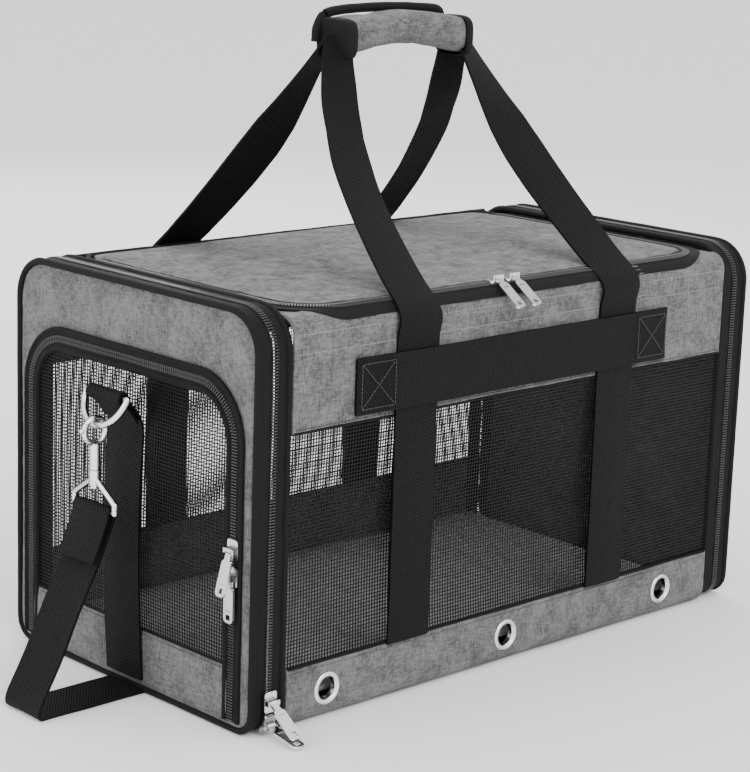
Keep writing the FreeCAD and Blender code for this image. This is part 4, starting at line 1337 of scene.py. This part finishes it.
def handle_leg(side, start, way):
    """One leg from its last stitches up into the grip; way is -1 for the leg at the door end."""
    foot = Vector((start, side * (HALF + 0.0024), HINGE_Z + 0.010))
    points = [Vector((start, side * (HALF + 0.0013), STRAP_SPLIT)),
              Vector((start, side * (HALF + 0.0016), HINGE_Z - 0.006)), foot]
    last = Vector((GRIP_MID + way * 0.060, side * 0.003, GRIP_Z + 0.001))
    for share in (0.12, 0.3, 0.5, 0.7, 0.85, 0.94, 1.0):
        p = foot.lerp(last, share)
        bow = math.sin(math.pi * share)
        p.x += way * (0.004 if way > 0 else 0.007) * bow
        p.y -= side * 0.017 * bow
        points.append(p)
    slope = (last.x - foot.x) / (last.z - foot.z)

    def across(u):
        twist = max(0.0, (u - 0.7) / 0.3)
        return Vector((1, -side * way * 0.6 * twist, -slope * min(1.0, u * 2))).normalized() * -side

    def shape(u):
        return 1.0 - 0.5 * max(0.0, (u - 0.60) / 0.40) ** 1.2

    return ribbon("leg", points, across, columns=100, shape=shape)


for name, side, node in (("front", -1, "front_handle"), ("back", 1, "back_handle")):
    legs = [handle_leg(side, LEGS_X[0], -1), handle_leg(side, LEGS_X[1], 1)]
    bridge = [Vector((GRIP_MID + x, side * y, GRIP_Z + z)) for x, y, z in (
        (-0.058, 0.004, 0.001), (-0.03, 0.005, 0.004), (0.03, 0.005, 0.004), (0.058, 0.004, 0.001))]
    legs.append(ribbon("bridge", bridge, UP, width=0.012, columns=60))
    handle = join_all(name + "_handle_webbing", legs)
    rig.blend(handle, "bag_body", name + "_handle", start=(0, side * (HALF + 0.002), HINGE_Z - 0.006),
             end=(0, side * (HALF + 0.002), HINGE_Z + 0.008))
    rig.slot(handle, "webbing")
    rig.replaces(handle, node)

# ---- Grip wrap --------------------------------------------------------------------------------------
# A padded cloth flap wrapped round both handles, bound in black at both ends and along its free edge.
PAD_START = grip_low[0] + 0.008
PAD_END = grip_high[0] - 0.005
PAD_HALF = 0.0160
PAD_ARCH = 0.010
deselect()
bpy.ops.mesh.primitive_cylinder_add(vertices=40, radius=1, depth=1, end_fill_type="NGON",
                                    rotation=(0, math.pi / 2, 0))
wrap = bpy.context.object
wrap.name = "grip_pad"
bpy.ops.object.transform_apply(location=True, rotation=True, scale=True)
bpy.ops.object.mode_set(mode="EDIT")
bpy.ops.mesh.select_all(action="SELECT")
bpy.ops.mesh.bisect(plane_co=(0, 0, 0), plane_no=(1, 0, 0))
for cut in (-0.4, -0.3, -0.2, -0.1, 0.1, 0.2, 0.3, 0.4):
    bpy.ops.mesh.select_all(action="SELECT")
    bpy.ops.mesh.bisect(plane_co=(cut, 0, 0), plane_no=(1, 0, 0))
bpy.ops.object.mode_set(mode="OBJECT")
for vertex in wrap.data.vertices:
    t, y, z = vertex.co.x, vertex.co.y, vertex.co.z
    squareness = 1 / max(abs(y) ** 4 + abs(z) ** 4, 1e-6) ** 0.25
    arch = PAD_ARCH * (1 - (2 * t) ** 2)
    height = 0.0128 - (arch / 2 if z < 0 else 0.0)
    vertex.co = Vector((PAD_START + (PAD_END - PAD_START) * (t + 0.5), y * squareness * PAD_HALF,
                        GRIP_Z + z * squareness * height + arch * 0.5))
soften(wrap, 0.004, 5.0, 0.003)
for vertex in wrap.data.vertices:
    p = vertex.co
    crease = 0.0012 * noise.noise(Vector((p.x * 45, p.y * 30, p.z * 50)))
    fold = 0.0016 * max(0.0, noise.noise(Vector((p.x * 60 + p.z * 55, 2, 5))))
    centre = Vector((p.x, 0, GRIP_Z))
    vertex.co = p + (p - centre).normalized() * (crease - fold)
round_off = wrap.modifiers.new("smooth", "SUBSURF")
round_off.levels = 1
round_off.render_levels = 1
bpy.ops.object.modifier_apply(modifier=round_off.name)
bpy.ops.object.shade_smooth()
wrap.data.materials.clear()
wrap.data.materials.append(grey_cloth)
finish_piece(wrap, "front_handle", "grey_cloth", "grip_wrap")
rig.padded(wrap, fill=0.5)


WRAP_STEPS = 48
TURN_IN = 0.35


def wrap_section(x, grow):
    line = []
    for i in range(WRAP_STEPS + 1):
        a = 2 * math.pi * i / WRAP_STEPS
        y, z = math.cos(a), math.sin(a)
        squareness = 1 / (abs(y) ** 4 + abs(z) ** 4) ** 0.25
        line.append(Vector((x, y * squareness * (0.0163 + grow), GRIP_Z + z * squareness * (0.0136 + grow))))
    return line


def end_binding(name, outer, inner):
    """Binding folded in over one end of the wrap; it closes round the webbing."""
    first, last = wrap_section(outer, 0.0008), wrap_section(inner, 0.0010)

    def place(u, v):
        i = int(round(u * WRAP_STEPS)) % WRAP_STEPS
        share = max(0.0, (v - TURN_IN) / (1 - TURN_IN))
        p = first[i].lerp(last[i], share)
        close = min(1.0, (v / TURN_IN) ** 0.6) if v < TURN_IN else 1.0
        roll = 1.0 - 0.06 * (1 - min(1.0, share * 4)) - 0.05 * max(0.0, share * 4 - 3)
        return Vector((p.x, p.y * close * roll, GRIP_Z + (p.z - GRIP_Z) * close * roll))

    return lay_out(name, WRAP_STEPS, 20, place, 0.0, black_tape, closed=True)


grip_bindings = join_all("grip_bindings", [
    end_binding("binding", grip_low[0] + 0.005, grip_low[0] + 0.014),
    end_binding("binding", grip_high[0] - 0.002, grip_high[0] - 0.009)])
finish_piece(grip_bindings, "front_handle", "zip_tape")
flap_line = curve_through([Vector((x, 0.015, GRIP_Z + z)) for x, z in (
    (grip_low[0] + 0.003, -0.003), (grip_low[0] + 0.005, 0.009), (grip_low[0] + 0.017, 0.0175),
    (GRIP_MID, 0.0200),
    (grip_high[0] - 0.014, 0.0180), (grip_high[0] - 0.005, 0.012), (grip_high[0] - 0.003, 0.004))], 60)
flap_edge = tube_along("grip_flap_edge", flap_line, 0.0034, black_tape, sides=10, uneven=0.1)
finish_piece(flap_edge, "front_handle", "zip_tape")

# ---- Top: cloth round the lid, lid, and the lid's zip -------------------------------------------------
# The lid is one cloth panel that bows up a little, zipped on three sides and sewn along the back.
lid_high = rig.box("lid_zip")[1]
LID_END = lid_high[0]
LID_BACK = lid_high[1]
LID_FRONT = -0.1205
LID_R = 0.035
BACK_R = 0.020
LID_Z = 0.2736
LID_INSET = 0.006
LID_STEPS = 260


def top_height(y):
    """Height of the top cloth: flat, then round the shoulder."""
    over = max(0.0, abs(y) - (HALF - SHOULDER))
    return BODY_TOP - SHOULDER + math.sqrt(max(SHOULDER ** 2 - over ** 2, 0.0))


def strips_place(u, v):
    x0, y0 = outline_point(u, BODY_X, -HALF + SHOULDER, HALF - SHOULDER, 0.0006, 0.0006)
    x1, y1 = outline_point(u, LID_END - 0.003, -HALF + SHOULDER + 0.0005, LID_BACK, BACK_R, LID_R)
    x, y = x0 + (x1 - x0) * v, y0 + (y1 - y0) * v
    return Vector((x, y, LID_Z - 0.0014 + ripple(x, y, 3, 0.04, 0.0005)))


top_strips = lay_out("top_end_cloth", 240, 6, strips_place, 0.0018, grey_cloth, closed=True)
finish_piece(top_strips, "bag_body", "grey_cloth", "top_end_strips")


def lid_crown(x, y):
    a = max(0.0, 1 - (x / 0.2) ** 2)
    b = max(0.0, 1 - ((y + 0.002) / 0.116) ** 2)
    wrinkle = ripple(x, y, 0, 0.09, 0.0022) + ripple(x, y, 5, 0.03, 0.0006)
    return 0.0055 * math.sqrt(a * b) + wrinkle * min(1.0, 3 * a) * min(1.0, 3 * b)


def lid_place(u, v):
    x0, y0 = outline_point(u, LID_END - LID_INSET, LID_FRONT + LID_INSET, LID_BACK - 0.0005, BACK_R - 0.003,
                           LID_R - LID_INSET)
    x, y = x0 * (1 - v), (y0 + 0.002) * (1 - v) - 0.002
    return Vector((x, y, LID_Z + lid_crown(x, y)))


lid_cloth = lay_out("lid_cloth", 260, 44, lid_place, CLOTH, grey_cloth, closed=True)
finish_piece(lid_cloth, "lid", "grey_cloth", "lid_panel")
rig.sheet(lid_cloth, flat=(LID_BACK - LID_FRONT - LID_INSET, 2 * (LID_END - LID_INSET)), held="stretched",
         rests_on=["top_end_cloth"])


def lid_line(offset, lift):
    """The zip's line on three sides of the lid, moved outward by offset."""
    half, low, r = LID_END + offset, LID_FRONT - offset, LID_R + offset
    raw = [Vector((-half, LID_BACK - BACK_R, 0))]
    for x, start in ((-half + r, 180), (half - r, 270)):
        for step in range(13):
            a = math.radians(start + 90 * step / 12)
            raw.append(Vector((x + r * math.cos(a), low + r + r * math.sin(a), 0)))
    raw.append(Vector((half, LID_BACK - BACK_R, 0)))
    line = evenly(raw, LID_STEPS)
    for p in line:
        p.z = top_height(min(abs(p.y), HALF - 0.0005)) + lift
    return line


def top_out(point):
    over = max(0.0, abs(point.y) - (HALF - SHOULDER))
    return Vector((0, math.copysign(over, point.y), math.sqrt(max(SHOULDER ** 2 - over ** 2, 1e-9))))


def lid_strip(name, offset0, offset1, lift, spread=0.0):
    first, last = lid_line(offset0, lift), lid_line(offset1, lift)

    def place(u, v):
        i = int(round(u * LID_STEPS))
        p = first[i].lerp(last[i], v)
        p.x *= 1 + spread * v
        p.z = top_height(p.y) + lift + 0.0004 * noise.noise(p * 60)
        return p

    return lay_out(name, LID_STEPS, 6, place, 0.0010, black_tape)


lid_tape = lid_strip("lid_zip_tape", -0.0085, -0.0008, 0.0010)
lid_teeth = repeat_along("lid_teeth", lid_line(-0.0014, 0.0012), top_out, TOOTH, TOOTH_PITCH, coil)
body_tape = lid_strip("top_zip_tape", 0.0008, 0.0085, 0.0003, 0.014)
body_teeth = repeat_along("top_teeth", lid_line(0.0014, 0.0010), top_out, TOOTH, TOOTH_PITCH, coil)
finish_piece(lid_tape, "lid", "zip_tape", "lid_zip")
finish_piece(lid_teeth, "lid", "zip_tape")
finish_piece(body_tape, "bag_body", "zip_tape")
finish_piece(body_teeth, "bag_body", "zip_tape")
back_line = []
for x, start in ((-LID_END + BACK_R, 180), (LID_END - BACK_R, 90)):
    for step in range(10):
        a = math.radians(start - 10 * step)
        back_line.append(Vector((x + BACK_R * math.cos(a), LID_BACK + 0.0012 - BACK_R + BACK_R * math.sin(a),
                                 LID_Z + 0.0006)))
back_seam = tube_along("lid_back_piping", curve_through(back_line, 120), 0.0020, black_tape, sides=8,
                       uneven=0.1)
finish_piece(back_seam, "bag_body", "piping")

# ---- Metal fittings ---------------------------------------------------------------------------------
# Nickel-plated zinc and wire. D-rings, clips, sliders, pull tabs and hoops keep their CAD shapes, and the
# eyelets are modelled here. The base colour holds a painted reflection: it goes near black where the surface turns
# away from the viewer.
nickel = new_material("bright_nickel")
wear = nickel.node_tree.nodes.new("ShaderNodeTexNoise")
wear.inputs["Scale"].default_value = 350
wear.inputs["Detail"].default_value = 4
rough = nickel.node_tree.nodes.new("ShaderNodeMapRange")
rough.inputs["To Min"].default_value = 0.08
rough.inputs["To Max"].default_value = 0.26
nickel.node_tree.links.new(wear.outputs["Fac"], rough.inputs["Value"])
nickel.node_tree.links.new(rough.outputs[0], principled(nickel).inputs["Roughness"])
bump_from(nickel, wear.outputs["Fac"], 0.15, 0.0002)
# Painted reflection: the facing weight takes the base colour from near white to near black at grazing angles, in place
# of dark reflected rims.
facing = nickel.node_tree.nodes.new("ShaderNodeLayerWeight")
facing.inputs["Blend"].default_value = 0.45
darker = nickel.node_tree.nodes.new("ShaderNodeMapRange")
darker.inputs["From Min"].default_value = 0.22
darker.inputs["From Max"].default_value = 0.66
painted_reflection = nickel.node_tree.nodes.new("ShaderNodeMix")
painted_reflection.data_type = "RGBA"
painted_reflection.inputs["A"].default_value = (0.94, 0.94, 0.95, 1)
painted_reflection.inputs["B"].default_value = (0.04, 0.04, 0.045, 1)
nickel.node_tree.links.new(facing.outputs["Facing"], darker.inputs["Value"])
nickel.node_tree.links.new(darker.outputs[0], painted_reflection.inputs["Factor"])
nickel.node_tree.links.new(painted_reflection.outputs["Result"], principled(nickel).inputs["Base Color"])
principled(nickel).inputs["Metallic"].default_value = 1.0
spring = new_material("spring_steel")
principled(spring).inputs["Base Color"].default_value = (0.5, 0.5, 0.5, 1)
principled(spring).inputs["Metallic"].default_value = 1.0
principled(spring).inputs["Roughness"].default_value = 0.35


def eyelet(x):
    """A rolled eyelet: a fat rounded rim that turns in through the cloth."""
    middle_z = (eyelet_low[2] + eyelet_high[2]) / 2
    profile = [(0.0, 0.0002), (0.0008, -0.0009), (0.0022, -0.0014), (0.0036, -0.0009), (0.0044, 0.0006),
               (0.0046, 0.0026), (0.0046, 0.0040)]

    def place(u, v):
        a = 2 * math.pi * u
        k = min(int(v * 6), 5)
        t = v * 6 - k
        inset = profile[k][0] + (profile[k + 1][0] - profile[k][0]) * t
        out = profile[k][1] + (profile[k + 1][1] - profile[k][1]) * t
        r = EYELET_R - 0.0002 - inset
        return Vector((x - r * math.cos(a), -HALF + 0.0006 + out, middle_z + r * math.sin(a)))

    return lay_out("eyelet", 40, 18, place, 0.0, nickel, closed=True)


eyelet_rims = join_all("eyelet_rims", [eyelet(x) for x in EYELETS_X])
finish_piece(eyelet_rims, "bag_body", "eyelet_metal", "vent_eyelets")
FINISH = {"bright_metal": nickel, "eyelet_metal": nickel, "slider_metal": nickel, "hoop_steel": spring}
for part in frame["record"]["subparts"]:
    if part["material_slot"] in FINISH:
        give(part["node"], FINISH[part["material_slot"]])

with open("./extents.json", "w") as out:
    json.dump({"cad": [list(c) for c in cad_box], "visual": [list(c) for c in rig.bounds()]}, out)
